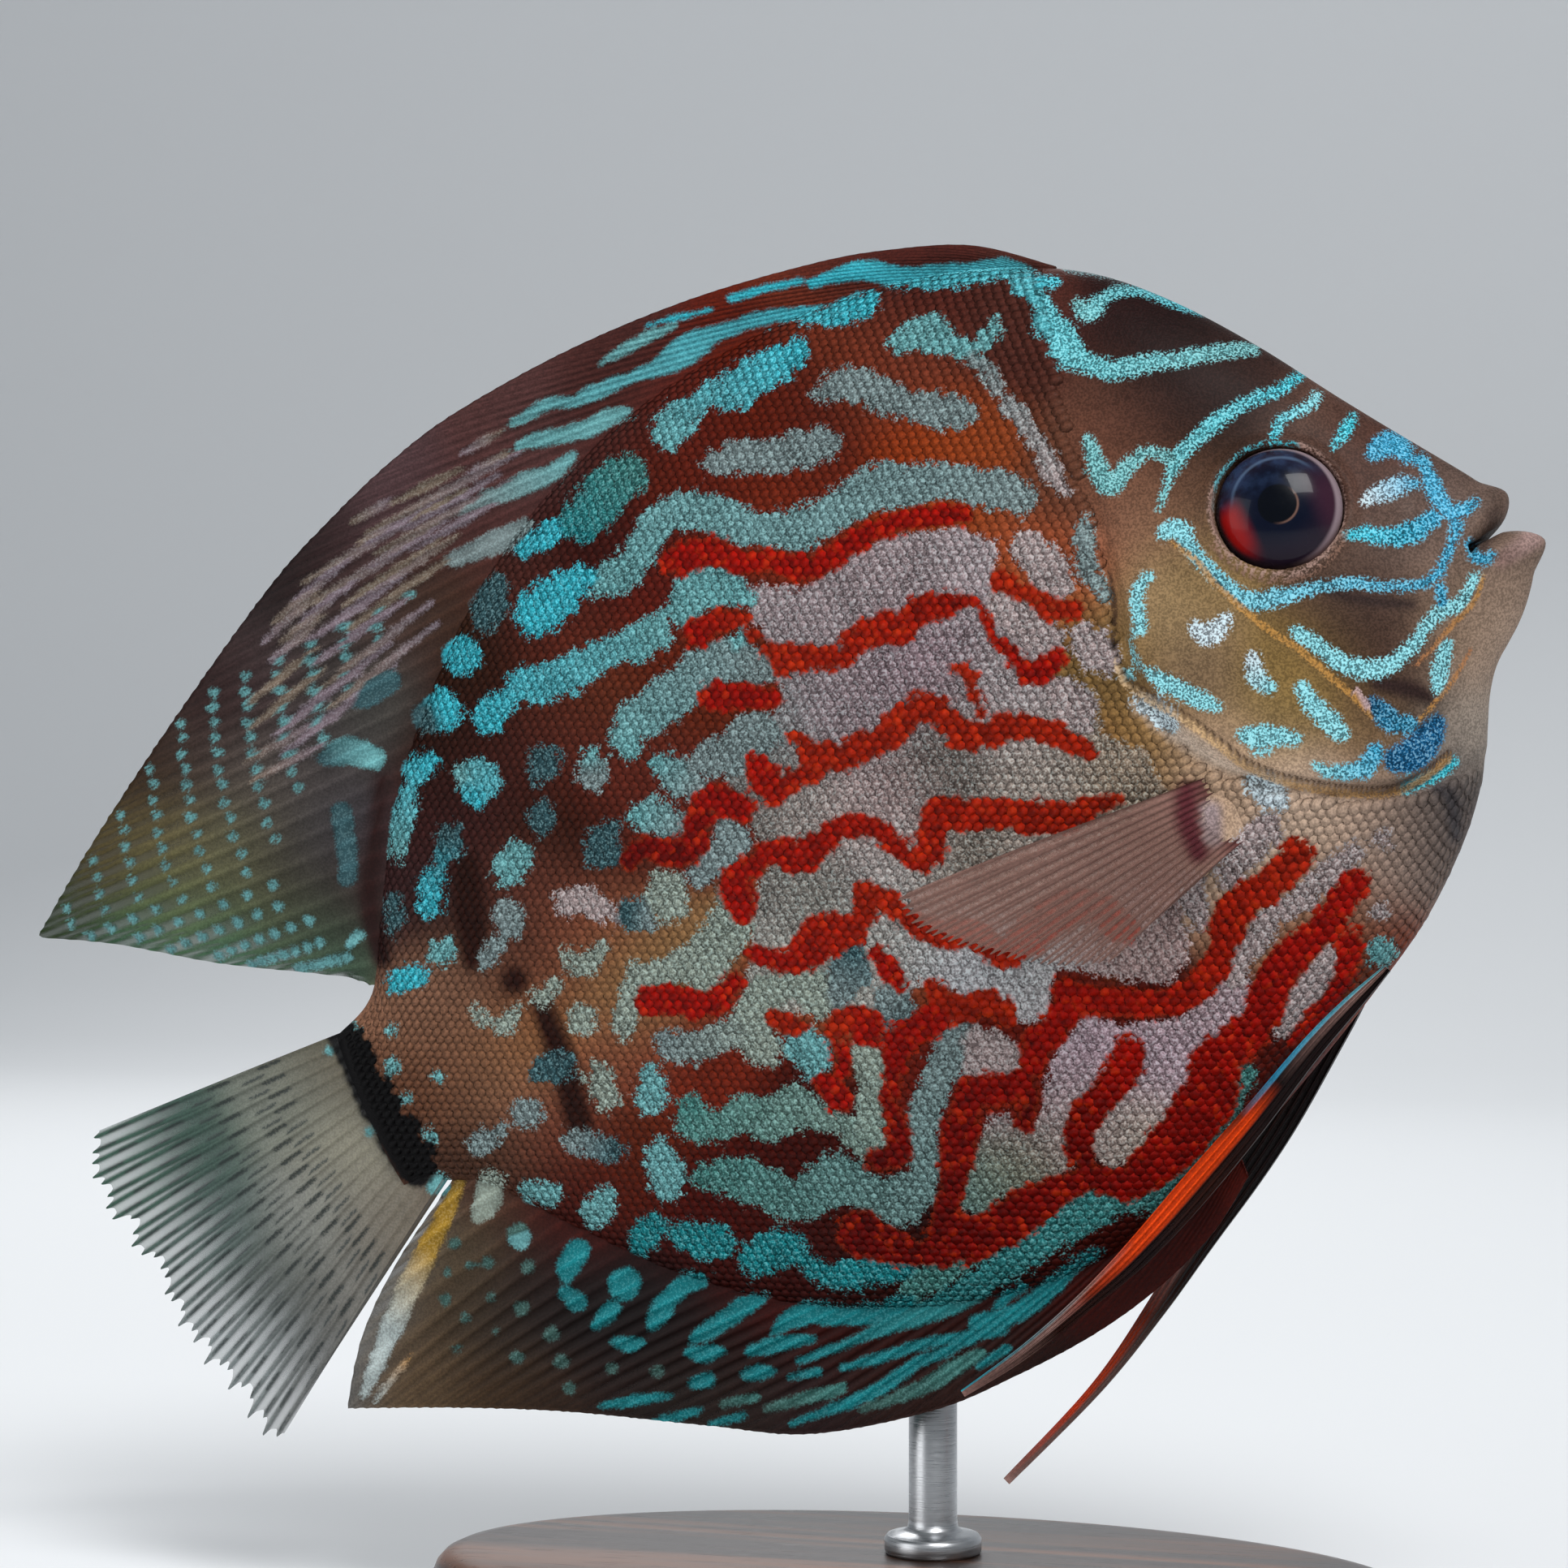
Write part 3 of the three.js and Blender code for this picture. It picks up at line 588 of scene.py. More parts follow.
# %% Bands on the head
HEAD_BANDS = painted(
    (AQUA,
     [(1340, 543, 20), (1351, 571, 34), (1367, 599, 34), (1387, 579, 28), (1407, 559, 20), (1430, 559, 18),
      (1446, 567, 24)]),
    (AQUA, TURQUOISE,
     [(1428, 626, 8), (1436, 603, 14), (1444, 583, 18), (1452, 563, 28), (1470, 545, 26), (1494, 523, 26),
      (1521, 504, 22), (1549, 490, 20), (1577, 480, 18), (1605, 460, 14)],
     [(1326, 374, 14), (1342, 384, 36), (1352, 374, 26), (1370, 363, 20), (1391, 358, 16), (1409, 360, 14),
      (1430, 367, 14), (1450, 375, 14), (1495, 388, 8)]),
    (CYAN, TURQUOISE,
     [(1622, 488, 18), (1612, 500, 18), (1593, 510, 18), (1577, 520, 18), (1571, 533, 16), (1566, 545, 8)]),
    (TURQUOISE, [(1668, 514, 12), (1660, 527, 22), (1648, 543, 14), (1642, 553, 6)]),
    (SKY,
     [(1691, 559, 24), (1703, 551, 40), (1719, 547, 40), (1735, 563, 24)],
     [(1751, 565, 20), (1761, 587, 26), (1770, 610, 30), (1786, 630, 30), (1806, 626, 24), (1818, 618, 12)],
     [(1794, 646, 24), (1790, 666, 16), (1782, 686, 16), (1774, 705, 16)],
     [(1774, 722, 16), (1778, 745, 18)],
     [(1810, 670, 12), (1818, 686, 20), (1834, 690, 14), (1838, 682, 8)]),
    (SKY, SILVER, [(1743, 595, 16), (1727, 598, 30), (1703, 606, 30), (1680, 618, 12)]),
    (TURQUOISE, SKY, [(1656, 660, 8), (1680, 658, 24), (1707, 662, 26), (1735, 658, 36), (1767, 638, 30)]),
    (CYAN, SKY,
     [(1436, 658, 24), (1452, 652, 34), (1466, 674, 26), (1482, 694, 24), (1502, 713, 24), (1521, 729, 26),
      (1545, 741, 30), (1573, 737, 32), (1601, 729, 22), (1636, 721, 18), (1668, 719, 18), (1699, 721, 16),
      (1731, 723, 16), (1759, 717, 18), (1774, 705, 18)]),
    (CYAN,
     [(1818, 711, 20), (1802, 741, 24), (1778, 753, 24), (1763, 765, 22), (1747, 788, 24), (1727, 808, 26),
      (1703, 824, 32), (1676, 824, 34), (1652, 816, 30), (1624, 796, 26), (1601, 781, 22), (1591, 777, 8)],
     [(1782, 796, 24), (1776, 816, 28), (1773, 840, 26), (1771, 852, 14)],
     [(1604, 848, 24), (1620, 871, 34), (1640, 891, 36), (1652, 903, 30)],
     [(1533, 907, 24), (1549, 907, 38), (1573, 907, 34), (1597, 911, 20)],
     [(1545, 927, 10), (1562, 928, 6)],
     [(1415, 828, 16), (1434, 840, 30), (1458, 852, 30), (1482, 864, 28), (1502, 871, 14)],
     [(1415, 709, 16), (1403, 725, 24), (1401, 749, 22), (1405, 773, 24), (1395, 784, 6), (1397, 808, 8),
      (1407, 824, 8)],
     [(1391, 832, 20)]),
    (DEEP_BLUE, SKY, [(1691, 864, 20), (1703, 879, 36), (1719, 891, 36), (1739, 891, 24)]),
    (DEEP_BLUE, [(1771, 891, 30), (1759, 911, 50), (1739, 931, 56), (1719, 935, 40)]),
    (SKY, CYAN, [(1695, 927, 30), (1680, 947, 34), (1656, 951, 26), (1636, 951, 20), (1620, 943, 14)]),
    (SILVER, [(1474, 773, 26), (1490, 781, 40), (1510, 765, 24)]),
    (SILVER, CYAN, [(1545, 812, 26), (1549, 836, 34), (1565, 848, 20)]),
    (TEAL, [(1314, 332, 8), (1377, 340, 10)]),
)
HEAD_BAND_SHARE = 0.75
PALE_STROKES = (
    BACK_BANDS + FLANK_BANDS + REAR_SPOTS + [(AQUA, AQUA, [spot]) for spot in TAIL_BAR_SPOTS]
    + LOWER_BANDS + BELLY_STREAKS + [(MOSS, MOSS, [spot]) for spot in BELLY_SPOTS]
    + THROAT_BLOBS + slimmer(HEAD_BANDS, HEAD_BAND_SHARE)
)
print(len(PALE_STROKES), "pale strokes in all")

# %% [markdown]
# ## The pale middle and its red threads
# Behind the gills the pale bands run together until the ground itself is pale, and the red is what is drawn
# on it. So this part is painted the other way round: two pale patches first, and then red threads over
# them.

# %% Pale patches
SHOULDER_PATCH = [
    (905, 718), (990, 725), (1025, 695), (1100, 655), (1185, 648), (1228, 668), (1222, 732), (1258, 738),
    (1302, 790), (1300, 832), (1348, 850), (1362, 905), (1415, 925), (1430, 965), (1460, 1000), (1460, 1100),
    (1465, 1180), (1440, 1215), (1300, 1190), (1295, 1262), (1245, 1262), (1200, 1230), (1130, 1210),
    (1120, 1240), (1060, 1250), (905, 1250), (925, 1180), (925, 1110), (945, 1065), (925, 1020), (893, 960),
    (892, 905), (962, 870), (955, 800), (925, 765),
]
BELLY_PATCH = [
    (1312, 1275), (1340, 1250), (1385, 1262), (1440, 1255), (1480, 1232), (1510, 1200), (1545, 1200),
    (1540, 1262), (1505, 1285), (1482, 1320), (1450, 1375), (1412, 1412), (1372, 1450), (1345, 1425),
    (1325, 1440), (1290, 1460), (1245, 1470), (1215, 1515), (1178, 1480), (1200, 1420), (1218, 1380),
    (1240, 1372), (1265, 1395), (1285, 1370), (1290, 1320),
]
PATCH_DABS = [
    (1080, 700, 148, 130, 132), (1180, 690, 154, 138, 140), (1000, 760, 146, 130, 132),
    (1130, 820, 140, 118, 124), (1250, 860, 154, 140, 140), (1040, 880, 140, 122, 126),
    (930, 900, 120, 122, 122), (1160, 940, 102, 92, 86), (1280, 950, 158, 144, 134),
    (1380, 960, 140, 122, 104), (1000, 1000, 154, 140, 134), (940, 970, 98, 92, 86),
    (1080, 990, 154, 130, 128), (1180, 1090, 130, 118, 106), (1100, 1080, 166, 156, 152),
    (1000, 1100, 102, 98, 90), (960, 1130, 140, 134, 128), (1300, 1060, 154, 140, 130),
    (1180, 1190, 170, 168, 172), (1260, 1220, 168, 166, 166), (1400, 1170, 154, 128, 124),
    (1440, 1190, 158, 132, 128), (1000, 1200, 164, 160, 150), (1110, 1180, 148, 144, 138),
    (1350, 1300, 166, 140, 150), (1440, 1300, 168, 144, 154), (1500, 1250, 164, 140, 146),
    (1240, 1340, 148, 126, 132), (1330, 1400, 154, 134, 134), (1260, 1440, 120, 114, 92),
    (1390, 1400, 158, 144, 130), (1210, 1480, 84, 114, 108),
]

# %% Red threads
RED_THREADS = painted(
    (SCARLET,
     [(835, 690, 40), (880, 680, 40), (910, 695, 30), (945, 690, 28), (985, 700, 36), (1010, 700, 30),
      (1030, 680, 30), (1060, 662, 28), (1100, 645, 30), (1140, 638, 30), (1180, 632, 28), (1195, 642, 16)],
     [(880, 858, 40), (920, 858, 34), (950, 860, 28)],
     [(1080, 1175, 24), (1095, 1192, 28), (1108, 1210, 20)],
     [(905, 1212, 30), (885, 1230, 36), (860, 1238, 40), (830, 1232, 40), (800, 1235, 40)],
     [(1035, 1290, 22), (1040, 1320, 24)],
     [(1015, 1335, 30), (1032, 1350, 36), (1040, 1365, 24)],
     [(1665, 1160, 34), (1655, 1200, 30), (1640, 1235, 30), (1615, 1262, 26), (1595, 1280, 16)]),
    (SCARLET, RUST,
     [(860, 780, 36), (890, 765, 30), (915, 758, 20)],
     [(932, 940, 26), (945, 960, 40), (955, 975, 34), (985, 955, 24), (1005, 948, 28), (1025, 928, 36)],
     [(915, 1128, 26), (912, 1105, 40), (900, 1085, 30), (930, 1065, 30), (950, 1050, 36), (985, 1055, 44),
      (1010, 1040, 36), (1030, 1022, 30), (1060, 1018, 32), (1085, 1025, 28), (1105, 1042, 24),
      (1125, 1060, 26), (1140, 1065, 24), (1150, 1040, 36), (1150, 1015, 40), (1160, 1000, 44),
      (1200, 1005, 40), (1240, 1005, 40), (1280, 1008, 44), (1320, 1005, 36), (1350, 995, 26),
      (1375, 985, 20)],
     [(1312, 1220, 36), (1346, 1233, 36), (1380, 1237, 34), (1418, 1237, 36), (1451, 1233, 40),
      (1477, 1216, 36), (1498, 1186, 40), (1510, 1161, 36), (1512, 1143, 50), (1524, 1119, 50),
      (1551, 1100, 44), (1579, 1076, 44), (1600, 1051, 40)]),
    (RUST,
     [(927, 784, 22)],
     [(1235, 715, 30), (1260, 730, 20), (1290, 750, 24), (1320, 750, 30)],
     [(980, 905, 16), (1000, 925, 30), (1030, 935, 36), (1065, 920, 40), (1095, 905, 36), (1120, 880, 40),
      (1140, 870, 36), (1160, 880, 34), (1185, 905, 36), (1210, 905, 36), (1250, 895, 36), (1290, 900, 30),
      (1320, 915, 26), (1340, 925, 24)],
     [(1210, 880, 16), (1200, 855, 18), (1192, 830, 22), (1180, 825, 14)],
     [(1062, 1100, 28), (1085, 1108, 34), (1105, 1120, 26), (1130, 1140, 30), (1160, 1150, 36),
      (1190, 1150, 36), (1215, 1160, 40), (1235, 1175, 36), (1260, 1160, 44), (1290, 1135, 50),
      (1320, 1115, 44), (1345, 1115, 40), (1370, 1130, 40), (1390, 1145, 30)],
     [(952, 1250, 20), (965, 1260, 26), (985, 1265, 20)],
     [(1150, 1215, 20), (1165, 1235, 34), (1190, 1248, 30), (1212, 1235, 34), (1232, 1245, 32),
      (1245, 1262, 20)]),
    (RUST, SCARLET,
     [(950, 800, 20), (970, 812, 40), (1000, 808, 36), (1035, 810, 30), (1060, 785, 34), (1090, 775, 44),
      (1110, 775, 40), (1130, 755, 36), (1160, 745, 36), (1185, 742, 26), (1205, 745, 12), (1218, 765, 14),
      (1225, 785, 14), (1245, 802, 20), (1262, 825, 28), (1280, 828, 34), (1300, 815, 30)],
     [(1062, 1105, 26), (1065, 1130, 28), (1040, 1150, 44), (1010, 1155, 56), (990, 1180, 40),
      (960, 1185, 30), (930, 1175, 26)],
     [(1030, 1265, 34), (1055, 1255, 40), (1070, 1270, 40)]),
    (SCARLET, MAROON,
     [(918, 1000, 30), (900, 990, 40), (875, 985, 34), (860, 1015, 36), (850, 1045, 40), (820, 1050, 32),
      (790, 1045, 28), (775, 1060, 26)],
     [(1155, 1255, 36), (1135, 1265, 40), (1110, 1280, 40), (1105, 1290, 36), (1100, 1330, 24),
      (1095, 1360, 20), (1105, 1390, 30), (1105, 1420, 34), (1080, 1430, 30)],
     [(1312, 1220, 36), (1308, 1258, 36), (1279, 1283, 40), (1270, 1317, 30), (1237, 1342, 40),
      (1199, 1346, 40), (1190, 1367, 40), (1182, 1401, 50), (1178, 1435, 40), (1169, 1477, 30),
      (1165, 1510, 44)],
     [(1392, 1296, 40), (1384, 1321, 44), (1359, 1350, 44), (1338, 1376, 44), (1329, 1401, 40),
      (1338, 1435, 28)],
     [(1671, 1088, 36), (1655, 1107, 40), (1637, 1137, 40), (1606, 1165, 44), (1580, 1190, 50),
      (1562, 1225, 48), (1552, 1255, 46), (1530, 1282, 50), (1498, 1308, 60), (1493, 1342, 70),
      (1472, 1376, 70), (1447, 1409, 66), (1418, 1439, 56), (1380, 1460, 44), (1346, 1451, 36),
      (1296, 1472, 44), (1254, 1498, 60), (1220, 1519, 50), (1178, 1531, 60), (1127, 1544, 36),
      (1060, 1519, 60)]),
    (MAROON, [(1270, 1350, 24), (1262, 1384, 24)]),
)
print(len(RED_THREADS), "red threads")

# %% [markdown]
# ## The ground colour
# Under the bands the fish is brown, olive on the gill cover, beige at the throat, russet on the flank and
# almost black under the belly; part of that darkness under the belly and at the rear is painted shade. Dabs
# of colour, each laid where the ground changes, are blended softly into one wash, and the fins bring dabs of
# their own.

# %% Ground colours
GROUND_DABS = [
    (1500, 470, 50, 32, 28), (1420, 500, 38, 24, 22), (1620, 560, 86, 64, 54), (1480, 620, 100, 78, 62),
    (1750, 650, 92, 74, 66), (1800, 720, 112, 92, 80), (1650, 700, 84, 64, 54), (1660, 770, 56, 42, 38),
    (1730, 780, 60, 38, 32), (1480, 710, 128, 102, 62), (1480, 830, 112, 90, 68), (1600, 820, 138, 110, 60),
    (1570, 890, 120, 98, 60), (1690, 910, 112, 86, 56), (1730, 860, 60, 44, 38), (1800, 780, 140, 115, 92),
    (1850, 800, 150, 130, 116), (1820, 900, 150, 138, 126), (1600, 1000, 168, 142, 120),
    (1500, 960, 150, 122, 90), (1720, 1060, 150, 128, 116), (1760, 1000, 96, 84, 78),
    (1640, 1120, 140, 100, 76), (1420, 930, 140, 106, 60), (1400, 420, 32, 13, 12), (1330, 600, 92, 54, 38),
    (1360, 800, 120, 92, 52), (1300, 700, 158, 74, 40), (1330, 980, 150, 96, 56), (1250, 420, 74, 36, 28),
    (1120, 380, 72, 28, 22), (1080, 450, 112, 42, 20), (1180, 560, 138, 66, 30), (960, 610, 112, 36, 16),
    (1000, 520, 84, 28, 16), (850, 560, 86, 26, 18), (760, 540, 66, 32, 28), (640, 560, 76, 46, 44),
    (560, 650, 70, 40, 38), (640, 720, 72, 34, 28), (760, 660, 70, 22, 16), (700, 790, 92, 34, 22),
    (820, 740, 96, 24, 14), (620, 930, 66, 28, 22), (700, 900, 84, 36, 26), (560, 1000, 56, 24, 22),
    (760, 970, 96, 36, 24), (470, 1100, 52, 28, 28), (590, 1120, 50, 24, 20), (660, 1100, 96, 50, 38),
    (560, 1230, 122, 86, 68), (640, 1200, 112, 62, 46), (700, 1160, 128, 72, 50), (560, 1320, 92, 56, 38),
    (620, 1320, 132, 96, 74), (760, 1290, 128, 70, 50), (850, 1330, 110, 32, 14), (690, 1380, 110, 58, 42),
    (600, 1440, 72, 46, 34), (760, 1440, 82, 18, 10), (980, 1420, 60, 10, 4), (880, 1500, 58, 12, 6),
    (700, 1500, 62, 16, 10), (640, 1580, 42, 26, 22), (800, 1600, 26, 16, 16), (960, 1590, 56, 12, 8),
    (1080, 1640, 44, 8, 4), (900, 1680, 30, 14, 12), (1200, 1600, 44, 8, 4), (1350, 1520, 60, 10, 4),
    (1560, 1330, 78, 16, 6), (760, 1700, 34, 20, 18), (1700, 1180, 110, 40, 18), (1080, 1200, 130, 60, 34),
    (1180, 1310, 96, 20, 8), (1600, 1000, 196, 170, 150), (1500, 960, 190, 160, 140),
    # The dark grey dabs at (1790, 975) and (1786, 1045) are painted shadow under the gill cover.
    (1790, 975, 66, 62, 64), (1786, 1045, 84, 74, 70), (1690, 1010, 168, 142, 124), (827, 580, 98, 26, 2),
    (935, 533, 94, 22, 2), (1106, 448, 116, 56, 38), (733, 673, 46, 8, 2), (733, 852, 94, 42, 22),
    (601, 829, 44, 18, 6), (547, 735, 54, 34, 20), (1150, 560, 140, 44, 2), (840, 800, 94, 32, 12),
    (700, 1010, 38, 12, 2), (560, 930, 38, 14, 4), (620, 1180, 44, 34, 26), (640, 1280, 142, 92, 50),
    (560, 1250, 138, 98, 74), (760, 1230, 140, 106, 68), (780, 1420, 82, 32, 8), (860, 1480, 74, 6, 1),
    (1380, 520, 96, 60, 46), (1450, 460, 20, 12, 12), (1460, 600, 78, 44, 28), (1400, 640, 128, 92, 72),
    (1500, 560, 16, 4, 4), (1660, 560, 74, 46, 38), (1640, 780, 58, 38, 28), (1440, 740, 144, 120, 88),
]
FIN_DABS = [
    (480, 620, 76, 54, 56), (430, 700, 60, 40, 40), (380, 650, 26, 14, 14), (350, 720, 26, 14, 14),
    (480, 760, 66, 48, 42), (440, 860, 62, 60, 56), (400, 800, 54, 46, 44), (330, 830, 60, 46, 46),
    (270, 860, 40, 20, 18), (380, 930, 58, 52, 52), (330, 960, 84, 76, 70), (250, 950, 62, 50, 46),
    (175, 950, 42, 22, 8), (400, 1030, 52, 50, 54), (350, 1060, 58, 52, 44), (420, 1130, 38, 34, 34),
    (280, 1040, 92, 90, 66), (200, 1040, 92, 82, 52), (120, 1080, 70, 58, 30), (55, 1140, 38, 52, 26),
    (200, 1120, 82, 92, 60), (300, 1130, 80, 82, 56), (380, 1150, 66, 68, 50), (150, 1170, 40, 88, 64),
    (280, 1185, 42, 94, 72), (400, 1190, 62, 94, 74), (400, 1320, 92, 84, 70), (430, 1420, 132, 128, 112),
    (470, 1500, 112, 104, 92), (380, 1500, 124, 126, 120), (350, 1360, 116, 120, 110),
    (220, 1420, 60, 80, 72), (140, 1440, 56, 84, 72), (250, 1520, 76, 90, 86), (330, 1600, 74, 78, 74),
    (300, 1660, 116, 124, 124), (380, 1680, 98, 98, 96), (430, 1600, 112, 110, 104),
    (570, 1560, 80, 66, 48), (535, 1640, 76, 60, 42), (500, 1700, 86, 68, 48), (600, 1640, 36, 30, 26),
    (600, 1710, 60, 42, 24), (680, 1740, 48, 32, 22), (820, 1750, 30, 24, 20), (900, 1750, 40, 30, 26),
    (1000, 1760, 38, 22, 22), (1100, 1730, 40, 22, 18), (1200, 1690, 42, 22, 18), (760, 1620, 14, 12, 12),
    (680, 1600, 20, 16, 16),
]
GROUND_SPREAD = 42.0
BAR_EDGE = 8
# Dark and pale bars laid over the ground, some of them painted shade and a painted highlight on the head.
GROUND_BARS = painted(
    (UMBER,
     [(634, 1208, 34)],
     [(668, 1240, 26), (690, 1300, 36), (715, 1390, 34)],
     [(575, 1065, 30), (580, 1130, 40), (582, 1185, 24)]),
    (linear(36, 14, 12), [(470, 960, 16), (462, 1040, 22), (455, 1110, 26), (470, 1180, 24)]),
    (linear(88, 38, 44), [(1462, 975, 26), (1462, 1010, 30), (1476, 1050, 26)]),
    (linear(150, 132, 132), linear(140, 120, 118), [(1492, 1000, 26), (1494, 1030, 26)]),
    # Painted shadow on the throat below the gill cover's lower corner.
    (linear(58, 54, 56), linear(66, 62, 64), [(1772, 972, 16), (1788, 984, 18), (1794, 1030, 14)]),
    # The pale membrane under the gill cover's edge, partly its own pale colour and partly a painted
    # highlight.
    (linear(206, 186, 168), linear(190, 168, 148),
     [(1404, 868, 12), (1440, 896, 20), (1490, 930, 20), (1540, 954, 12), (1610, 972, 6)]),
    (linear(150, 124, 118), linear(126, 100, 92), [(1888, 664, 26), (1850, 690, 20)]),
    # Painted shade on the rounded knob of the upper lip.
    (linear(84, 68, 60), linear(70, 56, 52), [(1842, 612, 16), (1838, 650, 14), (1826, 680, 10)]),
    (linear(46, 34, 32), [(1640, 730, 10), (1690, 740, 14), (1740, 745, 10)]),
    (linear(44, 30, 28), [(1698, 842, 18), (1740, 850, 24), (1764, 862, 14)]),
)
TAIL_BAR = painted(
    (BAR_INK,
     [(424, 1276, 42), (439, 1301, 46), (449, 1329, 42), (467, 1358, 52), (480, 1380, 44), (492, 1401, 54),
      (514, 1440, 46)]),
)
print(len(GROUND_DABS), "ground dabs")

# %% [markdown]
# The head also has lines far finer than a band: the bone in front of the gill cover shows as an ochre
# thread, the cover's free edge as a dark thread of painted shadow with a pale membrane under it, and the eye
# sits in a thin ring.

# %% Fine lines of the head
EYE_IN_PICTURE = (1573, 625)


def arc(radius, start, end, width, steps=14):
    """Stroke points round the eye between two angles, in degrees clockwise from the nose side."""
    turns_round = np.radians(np.linspace(start, end, steps))
    x, y = EYE_IN_PICTURE
    return [(x + radius * math.cos(t), y + radius * math.sin(t), width) for t in turns_round]


UNDER_GILL = [
    (1376, 815), (1386, 838), (1415, 860), (1455, 882), (1499, 914), (1537, 943), (1585, 962), (1633, 972),
    (1680, 977), (1719, 974), (1757, 955), (1786, 932),
]
FINE_LINES = painted(
    (BEIGE, OCHRE, [(x, y + 3, 8) for x, y in UNDER_GILL]),
    # Painted shadow: a dark brown thread along the gill cover's free edge.
    (PAINTED_GILL_SHADOW,
     [(x, y - 7, 5) for x, y in UNDER_GILL],
     [(1366, 700, 4), (1373, 745, 7), (1372, 790, 8), (1376, 815, 5)]),
    (OCHRE,
     [(1440, 665, 5), (1474, 690, 7), (1500, 722, 8), (1560, 774, 8), (1600, 800, 8), (1650, 843, 8),
      (1676, 866, 7), (1690, 884, 5)]),
    (OCHRE, AMBER, [(1829, 708, 4), (1815, 742, 6), (1788, 772, 6), (1764, 800, 5), (1742, 822, 4)]),
    (AMBER, OCHRE, [(1812, 800, 4), (1792, 836, 5), (1772, 862, 5), (1748, 888, 4)]),
    (linear(190, 160, 158), [(1671, 852, 9), (1683, 870, 12)]),
    (linear(150, 122, 112), arc(82, -70, 200, 6, 24)),
    (CYAN, TURQUOISE, arc(80, 172, 285, 5)),
    (linear(122, 92, 78), arc(92, 20, 150, 5)),
)

# %% [markdown]
# ## Meshes with paint on them
# Every piece is made from plain arrays of points and faces. `make_piece` turns them into an object, checks
# by its volume that the faces look outwards, and shades it smooth. `paint` then works out the markings for
# each vertex and stores them under short names that the materials read. A fin brings a ground and strokes
# of its own.

# %% Making a piece
def make_piece(name, points, faces):
    """A smooth-shaded object of these points and faces, turned so that its faces look outwards."""
    faces = [tuple(int(k) for k in face) for face in faces]
    mesh = bpy.data.meshes.new(name)
    mesh.from_pydata([tuple(p) for p in points.tolist()], [], faces)
    mesh.calc_loop_triangles()
    corners = np.empty(len(mesh.loop_triangles) * 3, int)
    mesh.loop_triangles.foreach_get("vertices", corners)
    a, b, c = (points[corners[k::3]] - points[0] for k in range(3))
    if np.einsum("ij,ij->i", a, np.cross(b, c)).sum() < 0:
        mesh.flip_normals()
    mesh.polygons.foreach_set("use_smooth", np.ones(len(mesh.polygons), bool))
    mesh.update()
    return add_object(name, mesh)


def grid_faces(rows, columns, closed_round=True):
    """Faces of a grid of rows, each row a closed ring or an open line."""
    last = columns if closed_round else columns - 1
    i, k = np.meshgrid(np.arange(rows - 1), np.arange(last), indexing="ij")
    a = i * columns + k
    b = i * columns + (k + 1) % columns
    return np.stack([a, b, b + columns, a + columns], axis=-1).reshape(-1, 4).tolist()


def closed_faces(rows, columns):
    """Faces of rings of points, with a fan at each end to one of the two points that come last."""
    faces = grid_faces(rows, columns)
    for k in range(columns):
        after = (k + 1) % columns
        faces.append([rows * columns, after, k])
        faces.append([rows * columns + 1, (rows - 1) * columns + k, (rows - 1) * columns + after])
    return faces


def finish_piece(piece, material, slot, *nodes):
    """Gives a piece its material and its body, and hides the solids that it stands for."""
    piece.data.materials.clear()
    piece.data.materials.append(material)
    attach(piece, "root")
    if nodes:
        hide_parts(*nodes)
    print(piece.name, len(piece.data.polygons), "faces")


# %% Painting a piece
def vertices_of(piece):
    """The vertices of a piece as an array, in metres."""
    flat = np.empty(len(piece.data.vertices) * 3)
    piece.data.vertices.foreach_get("co", flat)
    return flat.reshape(-1, 3)


def store(piece, name, values):
    """Keeps one number, or one colour, for each vertex under a name."""
    values = np.asarray(values, float)
    if values.ndim == 1:
        piece.data.attributes.new(name, "FLOAT", "POINT").data.foreach_set("value", values)
        return
    colours = np.hstack([values, np.ones((len(values), 1))])
    piece.data.attributes.new(name, "FLOAT_COLOR", "POINT").data.foreach_set("color", colours.ravel())


def paint(piece, dabs=GROUND_DABS, ground=None, pale=PALE_STROKES, red=RED_THREADS, fine=FINE_LINES,
          marked=True):
    """Stores the ground colour and the signed distances and colours of the bands on a piece."""
    pixels = to_picture(vertices_of(piece))
    colour = wash(pixels, dabs, GROUND_SPREAD) if ground is None else ground
    bar, bar_tint = brush(pixels, GROUND_BARS, UMBER)
    store(piece, "ground", colour + (bar_tint - colour) * smoothstep(-BAR_EDGE, BAR_EDGE, bar)[:, None])
    ink, _ = brush(pixels, TAIL_BAR if marked else [], BAR_INK)
    store(piece, "ink", ink)
    zone = np.maximum(patch(pixels, SHOULDER_PATCH), patch(pixels, BELLY_PATCH))
    store(piece, "zone", zone if marked else np.full(len(zone), -FAR))
    store(piece, "zone_tint", wash(pixels, PATCH_DABS, GROUND_SPREAD))
    for name, strokes, plain in (("pale", pale, TURQUOISE), ("red", red, SCARLET), ("thread", fine, OCHRE)):
        inside, tint = brush(pixels, strokes, plain)
        store(piece, name, inside)
        store(piece, name + "_tint", tint)


# %% [markdown]
# ## Building materials in code
# A node material is a small graph. Short helpers keep the graphs readable: `put` adds a node and wires what
# it is given, `plus`, `minus` and `times` do sums, `blend` mixes two colours, and `ramp` is the soft step
# that turns a signed distance into a mask. A socket knows its own tree, so most helpers need no more than
# sockets.

